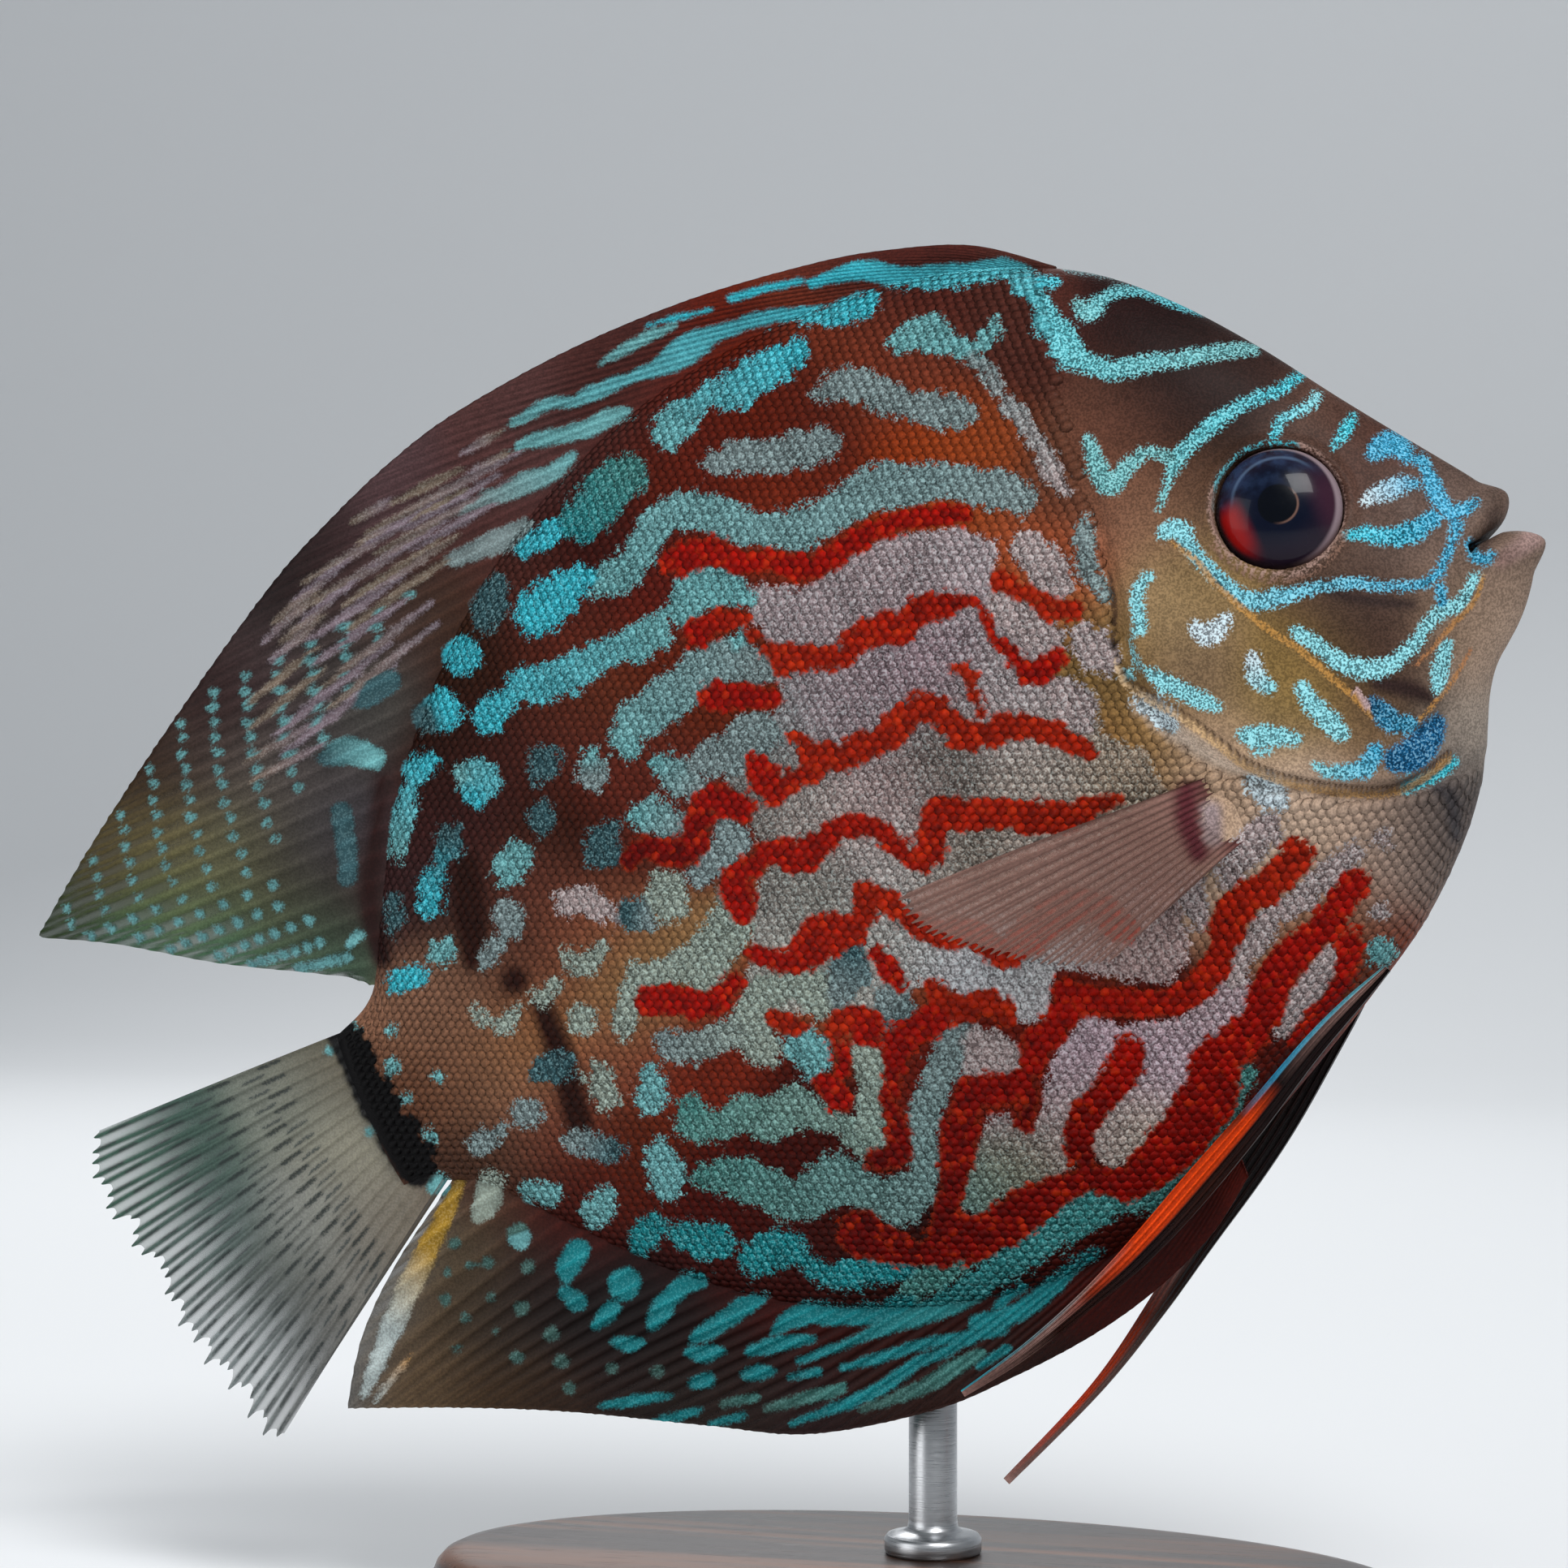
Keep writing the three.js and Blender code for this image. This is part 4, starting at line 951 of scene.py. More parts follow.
# %% Node helpers
def put(tree, kind, inputs=None, **settings):
    """A new node with these settings, its inputs wired to sockets or set to values."""
    node = tree.nodes.new(kind)
    for key, value in settings.items():
        setattr(node, key, value)
    for key, value in (inputs or {}).items():
        if isinstance(value, bpy.types.NodeSocket):
            tree.links.new(value, node.inputs[key])
        else:
            node.inputs[key].default_value = value
    return node


def tree_of(*values):
    """The node tree of the first socket among these values."""
    return next(value.id_data for value in values if isinstance(value, bpy.types.NodeSocket))


def calc(operation, a, b=0.0):
    return put(tree_of(a, b), "ShaderNodeMath", {0: a, 1: b}, operation=operation).outputs[0]


def plus(first, *others):
    for other in others:
        first = calc("ADD", first, other)
    return first


def minus(a, b):
    return calc("SUBTRACT", a, b)


def times(first, *others):
    for other in others:
        first = calc("MULTIPLY", first, other)
    return first


def around(value, centre, gain):
    """How far a value is from a centre, times a gain."""
    return times(minus(value, centre), gain)


def blend(share, a, b, mode="MIX"):
    values = {0: share, 6: a, 7: b}
    return put(tree_of(share, a, b), "ShaderNodeMix", values, data_type="RGBA", blend_type=mode).outputs[2]


def levelled(colour, level):
    """A colour made lighter or darker."""
    grey = put(tree_of(level), "ShaderNodeCombineColor", {0: level, 1: level, 2: level}).outputs[0]
    return blend(1.0, colour, grey, "MULTIPLY")


def ramp(value, low, high, start=0.0, end=1.0):
    values = {"Value": value, "From Min": low, "From Max": high, "To Min": start, "To Max": end}
    return put(tree_of(value), "ShaderNodeMapRange", values, interpolation_type="SMOOTHSTEP").outputs[0]


def places(tree):
    """The object's own coordinates."""
    return put(tree, "ShaderNodeTexCoord").outputs["Object"]


def stretched(where, *scales):
    """Coordinates with a scale of their own along each axis."""
    return put(tree_of(where), "ShaderNodeMapping", {"Vector": where, "Scale": scales}).outputs[0]


def noise(where, scale, detail=2.0, warp=0.0):
    values = {"Vector": where, "Scale": scale, "Detail": detail, "Distortion": warp}
    return put(tree_of(where), "ShaderNodeTexNoise", values).outputs[0]


def number(tree, name):
    return put(tree, "ShaderNodeAttribute", attribute_name=name).outputs["Fac"]


def colour_of(tree, name):
    return put(tree, "ShaderNodeAttribute", attribute_name=name).outputs["Color"]


def rgba(colour):
    return (*[float(c) for c in colour], 1.0)


def shade(red, green, blue):
    """A colour of 0 to 255 in each channel, as a colour socket takes it."""
    return rgba(linear(red, green, blue))


def new_group(name, inputs, outputs):
    """An empty shader group with these number inputs and named outputs."""
    tree = bpy.data.node_groups.new(name, "ShaderNodeTree")
    for key, value in inputs.items():
        tree.interface.new_socket(key, in_out="INPUT", socket_type="NodeSocketFloat").default_value = value
    for key, kind in outputs.items():
        tree.interface.new_socket(key, in_out="OUTPUT", socket_type=kind)
    return tree, tree.nodes.new("NodeGroupInput").outputs, tree.nodes.new("NodeGroupOutput").inputs


def new_material(name):
    """An empty material, its tree and its Principled shader."""
    material = bpy.data.materials.new(name)
    material.use_nodes = True
    tree = material.node_tree
    return material, tree, tree.nodes["Principled BSDF"]


def surface(shader, colour, roughness, height, strength, distance):
    """Joins a shader to its colour, its roughness and the height of its relief."""
    tree = shader.id_data
    values = {"Height": height, "Strength": strength, "Distance": distance}
    raised = put(tree, "ShaderNodeBump", values).outputs[0]
    for key, socket in {"Base Color": colour, "Roughness": roughness, "Normal": raised}.items():
        tree.links.new(socket, shader.inputs[key])


def matte(shader, specular, wet, wet_roughness):
    """Sets the plain numbers of a living surface on its shader."""
    shader.inputs["Specular IOR Level"].default_value = specular
    shader.inputs["Coat Weight"].default_value = wet
    shader.inputs["Coat Roughness"].default_value = wet_roughness


# %% [markdown]
# ## The coat's colours as one shared group
# Skin, scales and fins all wear the same bands, so one group works them out: the ground colour with a fine
# mottle, then the pale patches, the pale bands, the red threads with their orange rims, and the black bar
# at the tail. Each edge is roughened by noise and, on the scales, by a number that differs from scale to
# scale, so that a band ends in whole scales as it does on the fish. The pale paints glitter: a very fine
# noise lifts some specks and drops others, and the brightest specks are painted glints that turn near white.

# %% Shared group for the bands
# How fine each noise is, in lumps to the metre.
SPECKS = 4600.0
GRAVEL = 1500.0
EMBERS = 1050.0
WANDER = 850.0
CLOUDS = 260.0


def make_banded_coat():
    tree, given, out = new_group(
        "banded_coat",
        {"Ragged": 4.0, "Glitter": 0.6, "Mottle": 0.35, "Grain": 7.0},
        {"Color": "NodeSocketColor", "Roughness": "NodeSocketFloat", "Height": "NodeSocketFloat"},
    )
    where = places(tree)
    own = number(tree, "scale_tone")
    speck = ramp(noise(where, SPECKS, 1.0), 0.36, 0.64)
    cloud = noise(where, CLOUDS, 4.0)
    gravel = noise(where, GRAVEL, 3.0)
    wander = around(noise(where, WANDER, 3.0), 0.5, 3.4)
    shift = times(plus(wander, around(own, 0.0, 0.6)), given["Ragged"])
    crumbs = around(speck, 0.5, given["Grain"])

    def edge(name, soft, crumb_share=1.0):
        """Signed distance with its edge roughened, and the mask that it makes."""
        inside = plus(number(tree, name), shift, times(crumbs, crumb_share))
        return inside, ramp(inside, -soft, soft)

    def speckled_with_painted_glints(colour):
        """A pale paint broken into dark and bright specks, with painted glints of near white on the
        brightest.
        """
        level = plus(times(around(speck, 0.48, 1.7), given["Glitter"]), 1.0)
        level = plus(level, around(own, 0.0, 0.14), around(cloud, 0.5, 0.9))
        # Painted glints: the brightest specks blend towards near white.
        painted_glint = times(ramp(speck, 0.75, 1.0, 0.0, 0.4), given["Glitter"])
        return blend(painted_glint, levelled(colour, level), shade(176, 214, 214))

    patchy = plus(around(cloud, 0.5, 1.1), around(gravel, 0.5, 0.9), around(speck, 0.5, 0.8))
    level = plus(times(patchy, given["Mottle"]), 1.0)
    coat = levelled(colour_of(tree, "ground"), level)

    _, zone = edge("zone", 4.0)
    coat = blend(zone, coat, speckled_with_painted_glints(colour_of(tree, "zone_tint")))
    pale_depth, pale = edge("pale", 3.0)
    core = ramp(pale_depth, -2.0, 9.0, 0.7, 1.0)
    coat = blend(pale, coat, levelled(speckled_with_painted_glints(colour_of(tree, "pale_tint")), core))
    red_depth, red = edge("red", 3.0, 0.5)
    fleck = plus(around(gravel, 0.5, 1.8), around(own, 0.0, 0.28), 0.94)
    thread = levelled(colour_of(tree, "red_tint"), fleck)
    ember = plus(around(noise(where, EMBERS, 2.0), 0.5, 1.0), around(own, 0.0, 0.2))
    thread = blend(ramp(ember, 0.1, 0.3, 0.0, 0.45), thread, shade(196, 52, 10))
    thread = blend(ramp(red_depth, 0.0, 6.0, 0.45, 0.0), thread, shade(160, 52, 16))
    coat = blend(red, coat, thread)
    fine = ramp(plus(number(tree, "thread"), around(speck, 0.5, 2.5)), -1.8, 1.8, 0.0, 0.85)
    coat = blend(fine, coat, levelled(colour_of(tree, "thread_tint"), level))
    ink = ramp(plus(number(tree, "ink"), times(shift, 1.6)), -4.0, 4.0)
    coat = blend(ink, coat, rgba(BAR_INK))

    roughness = ramp(calc("MAXIMUM", zone, pale), 0.0, 1.0, 0.55, 0.42)
    height = plus(times(speck, 0.35), times(gravel, 0.65))
    for key, socket in {"Color": coat, "Roughness": roughness, "Height": height}.items():
        tree.links.new(socket, out[key])
    return tree


banded_coat = make_banded_coat()


def wear_bands(tree, **values):
    """The shared bands in a material, with its own raggedness of edge, glitter, mottle and grain."""
    coat = put(tree, "ShaderNodeGroup", node_tree=banded_coat)
    for key, value in values.items():
        coat.inputs[key].default_value = value
    return coat.outputs


def make_skin_material():
    material, tree, shader = new_material("fish_skin")
    bands = wear_bands(tree, Ragged=3.0, Glitter=0.8, Mottle=0.6, Grain=5.5)
    surface(shader, bands["Color"], bands["Roughness"], bands["Height"], 1.0, 0.00007)
    matte(shader, 0.07, 0.02, 0.25)
    return material


def make_scale_material():
    """The bands on a scale, with painted shade at its covered root and along its rim, and painted light
    towards its free end.
    """
    material, tree, shader = new_material("fish_scales")
    bands = wear_bands(tree, Ragged=6.0, Glitter=0.5, Mottle=0.45, Grain=6.0)
    across = put(tree, "ShaderNodeSeparateColor", {0: colour_of(tree, "leaf")}).outputs[0]
    # Painted shade at the root, which the scale in front covers, and painted light towards the free end.
    root = ramp(across, -0.05, 0.5, 0.95, 1.08)
    # Painted shade along the rim, where one scale steps down onto the next.
    rim = ramp(number(tree, "rim"), 0.8, 1.0, 1.0, 0.92)
    colour = levelled(bands["Color"], times(root, rim))
    surface(shader, colour, bands["Roughness"], bands["Height"], 1.0, 0.00004)
    matte(shader, 0.08, 0.02, 0.2)
    return material


skin_material = make_skin_material()
scale_material = make_scale_material()
print("coat materials ready")

# %% [markdown]
# ## The skin
# One skin covers head, trunk and tail stalk. It is a grid: rings round the body, set closely at the head
# and more widely behind. The first rings aren't flat: they start inside the mouth, roll out over the lips
# and only then lean into the cross sections of the body. A grid like that has no seam, and its points can
# be pushed in and out afterwards for the gill cover, the eye sockets and the creases of the face.

# %% Rings of the skin
AROUND = 360
HEAD_STEP = 0.4
TRUNK_STEP = 0.6
HEAD_END = 40.0
FACE_END = 10.0
FACE_RINGS = 24
LIP_RINGS = 7
THROAT_RINGS = 3
BEYOND_BODY = 1.6
USUAL_HALF_DEPTH = 40.0
USUAL_HALF_WIDTH = 11.0
# Where the mouth's rings pass the top, the side and the bottom: (back, height) and, at the side, its reach.
THROAT = ((6.5, -0.2), (8.0, -1.0, 1.0), (6.5, -0.8))
LIP_INSIDE = ((1.7, 0.15), (5.4, -1.3, 3.3), (1.5, -0.55))
LIP_CREST = ((-0.35, 2.5), (4.5, -1.2, 4.5), (-1.5, -2.9))
LIP_CREASE = ((1.7, 5.0), (6.6, -1.4, 4.7), (1.0, -5.4))


def even_turns(count, tall, wide):
    """Angles that space points evenly round an ellipse of these half sizes."""
    fine = np.linspace(0, 2 * np.pi, 4001)
    pace = np.hypot(tall * np.cos(fine), wide * np.sin(fine))
    run = np.concatenate([[0], np.cumsum((pace[1:] + pace[:-1]) / 2)])
    return np.interp(np.arange(count) * run[-1] / count, run, fine)


turns = even_turns(AROUND, USUAL_HALF_DEPTH, USUAL_HALF_WIDTH)


def section(back, turn, shrink=COAT_DEPTH):
    """Height and side of the body's surface at a distance back and an angle round it."""
    middle = widest_height(back)
    rise, across = np.sin(turn), np.cos(turn)
    edge = np.where(rise > 0, back_line(back) - middle, middle - belly_line(back)) - shrink
    side = np.sign(across) * np.abs(across) ** KEEL_SHARPNESS * (half_width(back) - shrink)
    return middle + edge * rise, side


def mouth_ring(marks):
    """A ring round the mouth through its marks at the top, the side and the bottom."""
    (top_back, top), (side_back, middle, reach), (low_back, low) = marks
    rise, across = np.sin(turns), np.cos(turns)
    end_back = np.where(rise > 0, top_back, low_back)
    back = side_back + (end_back - side_back) * rise**2
    height = middle + np.where(rise > 0, top - middle, middle - low) * rise
    return np.stack([back, height, reach * across], axis=-1)


def roll(before, a, b, after, share):
    """A smooth step from ring a to ring b that keeps the flow of the rings beside them."""
    v0, v1 = (b - before) / 2, (after - a) / 2
    t = share
    return (2 * a - 2 * b + v0 + v1) * t**3 + (-3 * a + 3 * b - 2 * v0 - v1) * t**2 + v0 * t + a


def face_ring(share):
    """A ring on the body's surface between the crease behind the lips and the first flat section."""
    crease = mouth_ring(LIP_CREASE)
    back = crease[:, 0] + (FACE_END - crease[:, 0]) * share
    height, side = section(back, turns)
    place = np.stack([back, height, side], axis=-1)
    return crease + (place - crease) * smoothstep(-0.15, 0.45, share) if share < 0.45 else place


throat, inside, crest, crease = (mouth_ring(m) for m in (THROAT, LIP_INSIDE, LIP_CREST, LIP_CREASE))
rings = [throat + (inside - throat) * k / THROAT_RINGS for k in range(THROAT_RINGS)]
rings += [roll(throat, inside, crest, crease, k / LIP_RINGS) for k in range(LIP_RINGS)]
rings += [roll(inside, crest, crease, face_ring(0.25), k / LIP_RINGS) for k in range(LIP_RINGS)]
rings += [face_ring(k / FACE_RINGS) for k in range(FACE_RINGS)]
stations = np.concatenate([
    np.arange(FACE_END, HEAD_END, HEAD_STEP),
    np.arange(HEAD_END, STANDARD_LENGTH + BEYOND_BODY, TRUNK_STEP),
])
for back in stations:
    height, side = section(np.full(AROUND, back), turns)
    rings.append(np.stack([np.full(AROUND, back), height, side], axis=-1))
skin_grid = np.array(rings)
print("skin grid", skin_grid.shape)

# %% [markdown]
# ## Relief of the head
# The hard parts of a fish's head show through its skin. The gill cover is a plate with a free edge, and a
# shadow lies behind it; the bone in front of it ends in a fine ridge; the jaw folds behind the mouth. Each
# is a line on the picture with a width and a depth, pressed into the grid along its normals.

# %% Gill cover, creases and eye sockets
EYE_AT = (18.3, 10.1)
EYE_RADIUS = 5.9
EYE_BULGE = 1.7
EYE_DEPTH = 3.3
EYE_LEAN = 0.16
SOCKET_RADIUS = 6.15
# Creases of the face: depth in millimetres, then (across, down, width) in the picture.
CREASES = [
    (0.22, [(1440, 665, 9), (1474, 690, 9), (1500, 720, 9), (1560, 770, 9), (1600, 796, 9), (1650, 840, 10),
            (1680, 862, 12), (1692, 880, 12)]),
    (0.5, [(1688, 868, 10), (1704, 890, 14), (1730, 903, 16), (1755, 897, 14), (1778, 880, 10)]),
    (0.35, [(1806, 668, 12), (1808, 690, 16), (1802, 715, 12), (1798, 735, 8)]),
    (0.25, [(1845, 690, 10), (1826, 704, 12), (1808, 712, 10)]),
    (0.18, [(1400, 690, 8), (1380, 740, 10), (1376, 800, 10), (1390, 840, 10)]),
    (0.45, [(1600, 962, 10), (1660, 972, 14), (1720, 973, 16), (1770, 957, 14), (1800, 930, 10)]),
]
NOSTRILS = [(0.7, [(1709, 541, 9)]), (0.5, [(1762, 569, 8)])]
SWELLINGS = [(0.8, [(1492, 1012, 46), (1500, 1030, 40)]), (0.35, [(1735, 640, 60)]), (0.3, [(1560, 760, 40)])]


def grid_normals(grid):
    """Outward unit normals of a grid of rings."""
    along_rings = np.gradient(grid, axis=0)
    round_rings = np.roll(grid, -1, axis=1) - np.roll(grid, 1, axis=1)
    normal = np.cross(along_rings, round_rings)
    normal /= np.maximum(np.linalg.norm(normal, axis=-1, keepdims=True), 1e-9)
    outward = grid - grid.mean(axis=1, keepdims=True)
    return normal * np.sign((normal * outward).sum(-1).mean())


def pressed(grid, lines, sign):
    """How far each point of the grid is pushed out by these lines, in millimetres."""
    pixels = to_picture(to_scene(*grid.reshape(-1, 3).T))
    push = np.zeros(len(pixels))
    for depth, line in lines:
        half = max(p[2] for p in line) / 2
        gap, _ = brush(pixels, [(UMBER, UMBER, [(x, y, 0.0) for x, y, _ in line])], UMBER)
        push += sign * depth * smoothstep(-min(1.9 * half, FAR), 0, gap)
    return push.reshape(grid.shape[:2])


gill_outline = np.vstack([along(GILL_EDGE)(np.linspace(0, 1, 80)), [(-12, -17.6), (-12, 56)]])


def before_gill_edge(back, height):
    """Distance in front of the gill cover's edge, in millimetres, negative behind it."""
    return patch(np.stack([back.ravel(), height.ravel()], axis=-1), gill_outline).reshape(back.shape)


def relief(grid):
    """The grid with the cheek, the gill cover's edge and the creases of the face pressed into it."""
    back, height, side = grid[..., 0], grid[..., 1], grid[..., 2]
    normal = grid_normals(grid)
    front = before_gill_edge(back, height)
    sides = np.minimum(1, np.abs(side) / 2.5)
    low = 1 - smoothstep(14, 26, height)
    push = cheek_bulge(back, height) * smoothstep(-0.1, 0.9, front) * sides
    push += 0.22 * np.exp(-(((front - 0.9) / 0.7) ** 2)) * low * sides
    push -= 0.38 * np.exp(-(((front + 0.35) / 0.45) ** 2)) * low * sides
    push += pressed(grid, CREASES, -1) + pressed(grid, NOSTRILS, -1) + pressed(grid, SWELLINGS, 1)
    return grid + normal * push[..., None]


def turned(axis, angle):
    return np.array(Matrix.Rotation(angle, 3, axis))


def eye_frame(side):
    """The eye's centre in the fish's (-back, side, height) axes, and the turn of its own axes."""
    back, height = EYE_AT
    middle = widest_height(np.array(back))
    share = (height - middle) / (back_line(np.array(back)) - middle)
    surface = half_width(np.array(back)) * np.sqrt(1 - share**2) ** KEEL_SHARPNESS + cheek_bulge(back, height)
    centre = np.array([-back, side * (surface + EYE_BULGE - EYE_DEPTH), height], float)
    return centre, turned("X", side * EYE_LEAN) @ turned("Z", -side * EYE_LEAN)


def dig_socket(grid, side):
    """The grid with a bowl for the eye, its edge drawn onto a true circle, and a raised rim round it."""
    centre, turn = eye_frame(side)
    axes = np.stack([-grid[..., 0], grid[..., 2], grid[..., 1]], axis=-1)
    local = (axes - centre) @ turn
    reach = np.hypot(local[..., 0], local[..., 2])
    mine = (np.sign(grid[..., 2]) == side) & (reach < 12)
    snap = mine & (np.abs(reach - SOCKET_RADIUS) < 0.3)
    scale = np.where(snap, SOCKET_RADIUS / np.maximum(reach, 1e-6), 1.0)
    local[..., 0] *= scale
    local[..., 2] *= scale
    hollow = mine & (reach < SOCKET_RADIUS - 0.3)
    bowl = -(EYE_DEPTH * np.sqrt(np.clip(1 - (reach / SOCKET_RADIUS) ** 2, 0, 1)) + 0.35)
    local[..., 1] = np.where(hollow, side * bowl, local[..., 1])
    rim = 0.42 * np.exp(-(((reach - SOCKET_RADIUS - 0.55) / 0.55) ** 2))
    local[..., 1] += np.where(mine & ~hollow, side * rim, 0)
    moved = local @ turn.T + centre
    return np.stack([-moved[..., 0], moved[..., 2], moved[..., 1]], axis=-1)


skin_grid = relief(skin_grid)
for side in (1, -1):
    skin_grid = dig_socket(skin_grid, side)


# %% Skin object
def make_skin():
    rows, columns = skin_grid.shape[:2]
    points = to_scene(*skin_grid.reshape(-1, 3).T)
    ends = [points[:columns].mean(0), points[-columns:].mean(0)]
    return make_piece("fish_skin", np.vstack([points, ends]), closed_faces(rows, columns))


skin = make_skin()
paint(skin)
finish_piece(skin, skin_material, "skin", "head", "torso", "tail_stalk")

# %% [markdown]
# ## The scales
# A discus has small, thin, rounded scales in staggered columns, each lying backwards over the next. They
# are real plates here: a Geometry Nodes tree sets one small lens-shaped plate on each root, turns it to the
# skin and to the lie of the coat, tips its free edge up a little, and gives it a number of its own. The
# roots come from a walk round the body: a column every scale's length, and within it a scale at even steps
# of skin, not of height, so that they stay even where the body curves away.

# %% Roots of the scales
COLUMN_STEP = 0.92
ROW_STEP = 0.86
COAT_FROM = 11.0
COAT_TO = 128.5
COAT_MARGIN = 0.9
FLANK_LENGTH = 135.0
FLANK_HEIGHT = 112.0
FINE_TURNS = np.linspace(-np.pi / 2, np.pi / 2, 801)
STEP_ROUND = 0.01
STEP_BACK = 0.5


def scale_roots(side):
    """Roots of one flank's scales: place, outward and backward ways, size, place on the unwrapped flank."""
    found = []
    for column, back in enumerate(np.arange(COAT_FROM, COAT_TO, COLUMN_STEP)):
        height, out = section(np.full(len(FINE_TURNS), back), FINE_TURNS)
        length = np.concatenate([[0], np.cumsum(np.hypot(np.diff(height), np.diff(out)))])
        middle = np.interp(widest_height(back), height, length)
        offset = ROW_STEP / 2 if column % 2 else 0.0
        rows = np.arange(-int(middle / ROW_STEP), int((length[-1] - middle) / ROW_STEP) + 1)
        at = middle + rows * ROW_STEP + offset
        at = at[(at > COAT_MARGIN) & (at < length[-1] - COAT_MARGIN)]
        turn = np.interp(at, length, FINE_TURNS)
        place = np.array(section(np.full(len(turn), back), turn))
        round_way = np.array(section(np.full(len(turn), back), turn + STEP_ROUND)) - place
        back_way = np.array(section(np.full(len(turn), back + STEP_BACK), turn)) - place
        beside = np.stack([0 * turn, *round_way], axis=-1)
        behind = np.stack([STEP_BACK + 0 * turn, *back_way], axis=-1)
        outward = np.cross(beside, behind)
        outward *= np.sign(outward[:, 2:3])
        outward /= np.linalg.norm(outward, axis=1, keepdims=True)
        behind /= np.linalg.norm(behind, axis=1, keepdims=True)
        front = before_gill_edge(np.full(len(turn), back), place[0])
        edge = np.minimum(at, length[-1] - at)
        size = (smoothstep(-0.5, 5, edge) * 0.35 + 0.65) * (1 - 0.3 * smoothstep(108, 126, back))
        for k in np.nonzero(front < -COAT_MARGIN)[0]:
            unwrapped = (back / FLANK_LENGTH, 0.02 + 0.96 * at[k] / FLANK_HEIGHT)
            found.append([back, *place[:, k], *outward[k], *behind[k], size[k], *unwrapped])
    roots = np.array(found)
    roots[:, [2, 5, 8]] *= side
    return roots


def swing_to_scene(ways):
    """Directions on the fish as directions of the scene."""
    made = to_scene(*ways.T) - to_scene(*np.zeros_like(ways).T)
    return made / np.linalg.norm(made, axis=1, keepdims=True)


# %% [markdown]
# One scale is a lens of sixteen triangles: a rounded outline, longer than wide, with a slightly domed top
# and a nearly flat underside. Its root end is narrow, because the scale in front covers it.

# %% One scale
PLATE_LENGTH = 1.8
PLATE_WIDTH = 1.34
PLATE_THICKNESS = 0.045
PLATE_POINTS = 8


def make_plate():
    turn = np.arange(PLATE_POINTS) * 2 * np.pi / PLATE_POINTS
    outline = np.stack([np.cos(turn), np.sin(turn) * (1 - 0.12 * np.cos(turn + np.pi))], axis=-1)
    rim = np.hstack([outline * [PLATE_LENGTH / 2, PLATE_WIDTH / 2], np.zeros((PLATE_POINTS, 1))])
    points = np.vstack([rim, [[0, 0, PLATE_THICKNESS], [0, 0, -PLATE_THICKNESS * 0.4]]])
    points[:, 0] += PLATE_LENGTH * 0.18
    faces = []
    for k in range(PLATE_POINTS):
        after = (k + 1) % PLATE_POINTS
        faces += [[PLATE_POINTS, k, after], [PLATE_POINTS + 1, after, k]]
    plate = make_piece("scale_plate", points * METRE, faces)
    store(plate, "rim", np.concatenate([np.ones(PLATE_POINTS), [0, 0]]))
    store(plate, "leaf", np.hstack([points[:, :2] / [PLATE_LENGTH, PLATE_WIDTH], np.zeros((len(points), 1))]))
    return plate


# %% Tree that lays the scales
def make_scale_tree():
    """The tree, and the identifier of each of its inputs by name."""
    tree = bpy.data.node_groups.new("lay_scales", "GeometryNodeTree")
    sockets = {}
    for key, kind, value in [
        ("Roots", "NodeSocketGeometry", None), ("Plate", "NodeSocketObject", None),
        ("Tip angle", "NodeSocketFloat", 0.038), ("Size spread", "NodeSocketFloat", 0.08),
        ("Seed", "NodeSocketInt", 3), ("Finish", "NodeSocketMaterial", None),
    ]:
        sockets[key] = tree.interface.new_socket(key, in_out="INPUT", socket_type=kind)
        if value is not None:
            sockets[key].default_value = value
    tree.interface.new_socket("Coat", in_out="OUTPUT", socket_type="NodeSocketGeometry")
    given = tree.nodes.new("NodeGroupInput").outputs
    out = tree.nodes.new("NodeGroupOutput").inputs

    def named(name, kind):
        node = put(tree, "GeometryNodeInputNamedAttribute", {"Name": name}, data_type=kind)
        return node.outputs["Attribute"]

    def drawn(salt):
        """A number from -1 to 1 for each scale."""
        values = {"Min": -1.0, "Max": 1.0, "Seed": plus(given["Seed"], salt)}
        return put(tree, "FunctionNodeRandomValue", values, data_type="FLOAT").outputs[1]

    points = put(tree, "GeometryNodeMeshToPoints", {"Mesh": given["Roots"]}).outputs[0]
    off_skin = {"Vector": named("outward", "FLOAT_VECTOR")}
    upright = put(tree, "FunctionNodeAlignRotationToVector", off_skin, axis="Z")
    along_coat = {"Rotation": upright.outputs[0], "Vector": named("backward", "FLOAT_VECTOR")}
    laid = put(tree, "FunctionNodeAlignRotationToVector", along_coat, axis="X", pivot_axis="Z")
    tip = put(tree, "ShaderNodeCombineXYZ", {1: times(given["Tip angle"], -1.0)}).outputs[0]
    tipped = put(tree, "FunctionNodeRotateRotation", {0: laid.outputs[0], 1: tip}, rotation_space="LOCAL")
    size = times(named("size", "FLOAT"), plus(times(drawn(1.0), given["Size spread"]), 1.0))
    setting = {"Points": points, "Rotation": tipped.outputs[0], "Scale": size}
    setting["Instance"] = put(tree, "GeometryNodeObjectInfo", {"Object": given["Plate"]}).outputs["Geometry"]
    placed = put(tree, "GeometryNodeInstanceOnPoints", setting).outputs[0]
    values = {"Geometry": placed, "Name": "scale_tone", "Value": drawn(2.0)}
    toned = put(tree, "GeometryNodeStoreNamedAttribute", values, data_type="FLOAT", domain="INSTANCE")
    solid = put(tree, "GeometryNodeRealizeInstances", {"Geometry": toned.outputs[0]}).outputs[0]
    shown = put(tree, "GeometryNodeSetMaterial", {"Geometry": solid, "Material": given["Finish"]}).outputs[0]
    tree.links.new(shown, out["Coat"])
    return tree, {key: socket.identifier for key, socket in sockets.items()}


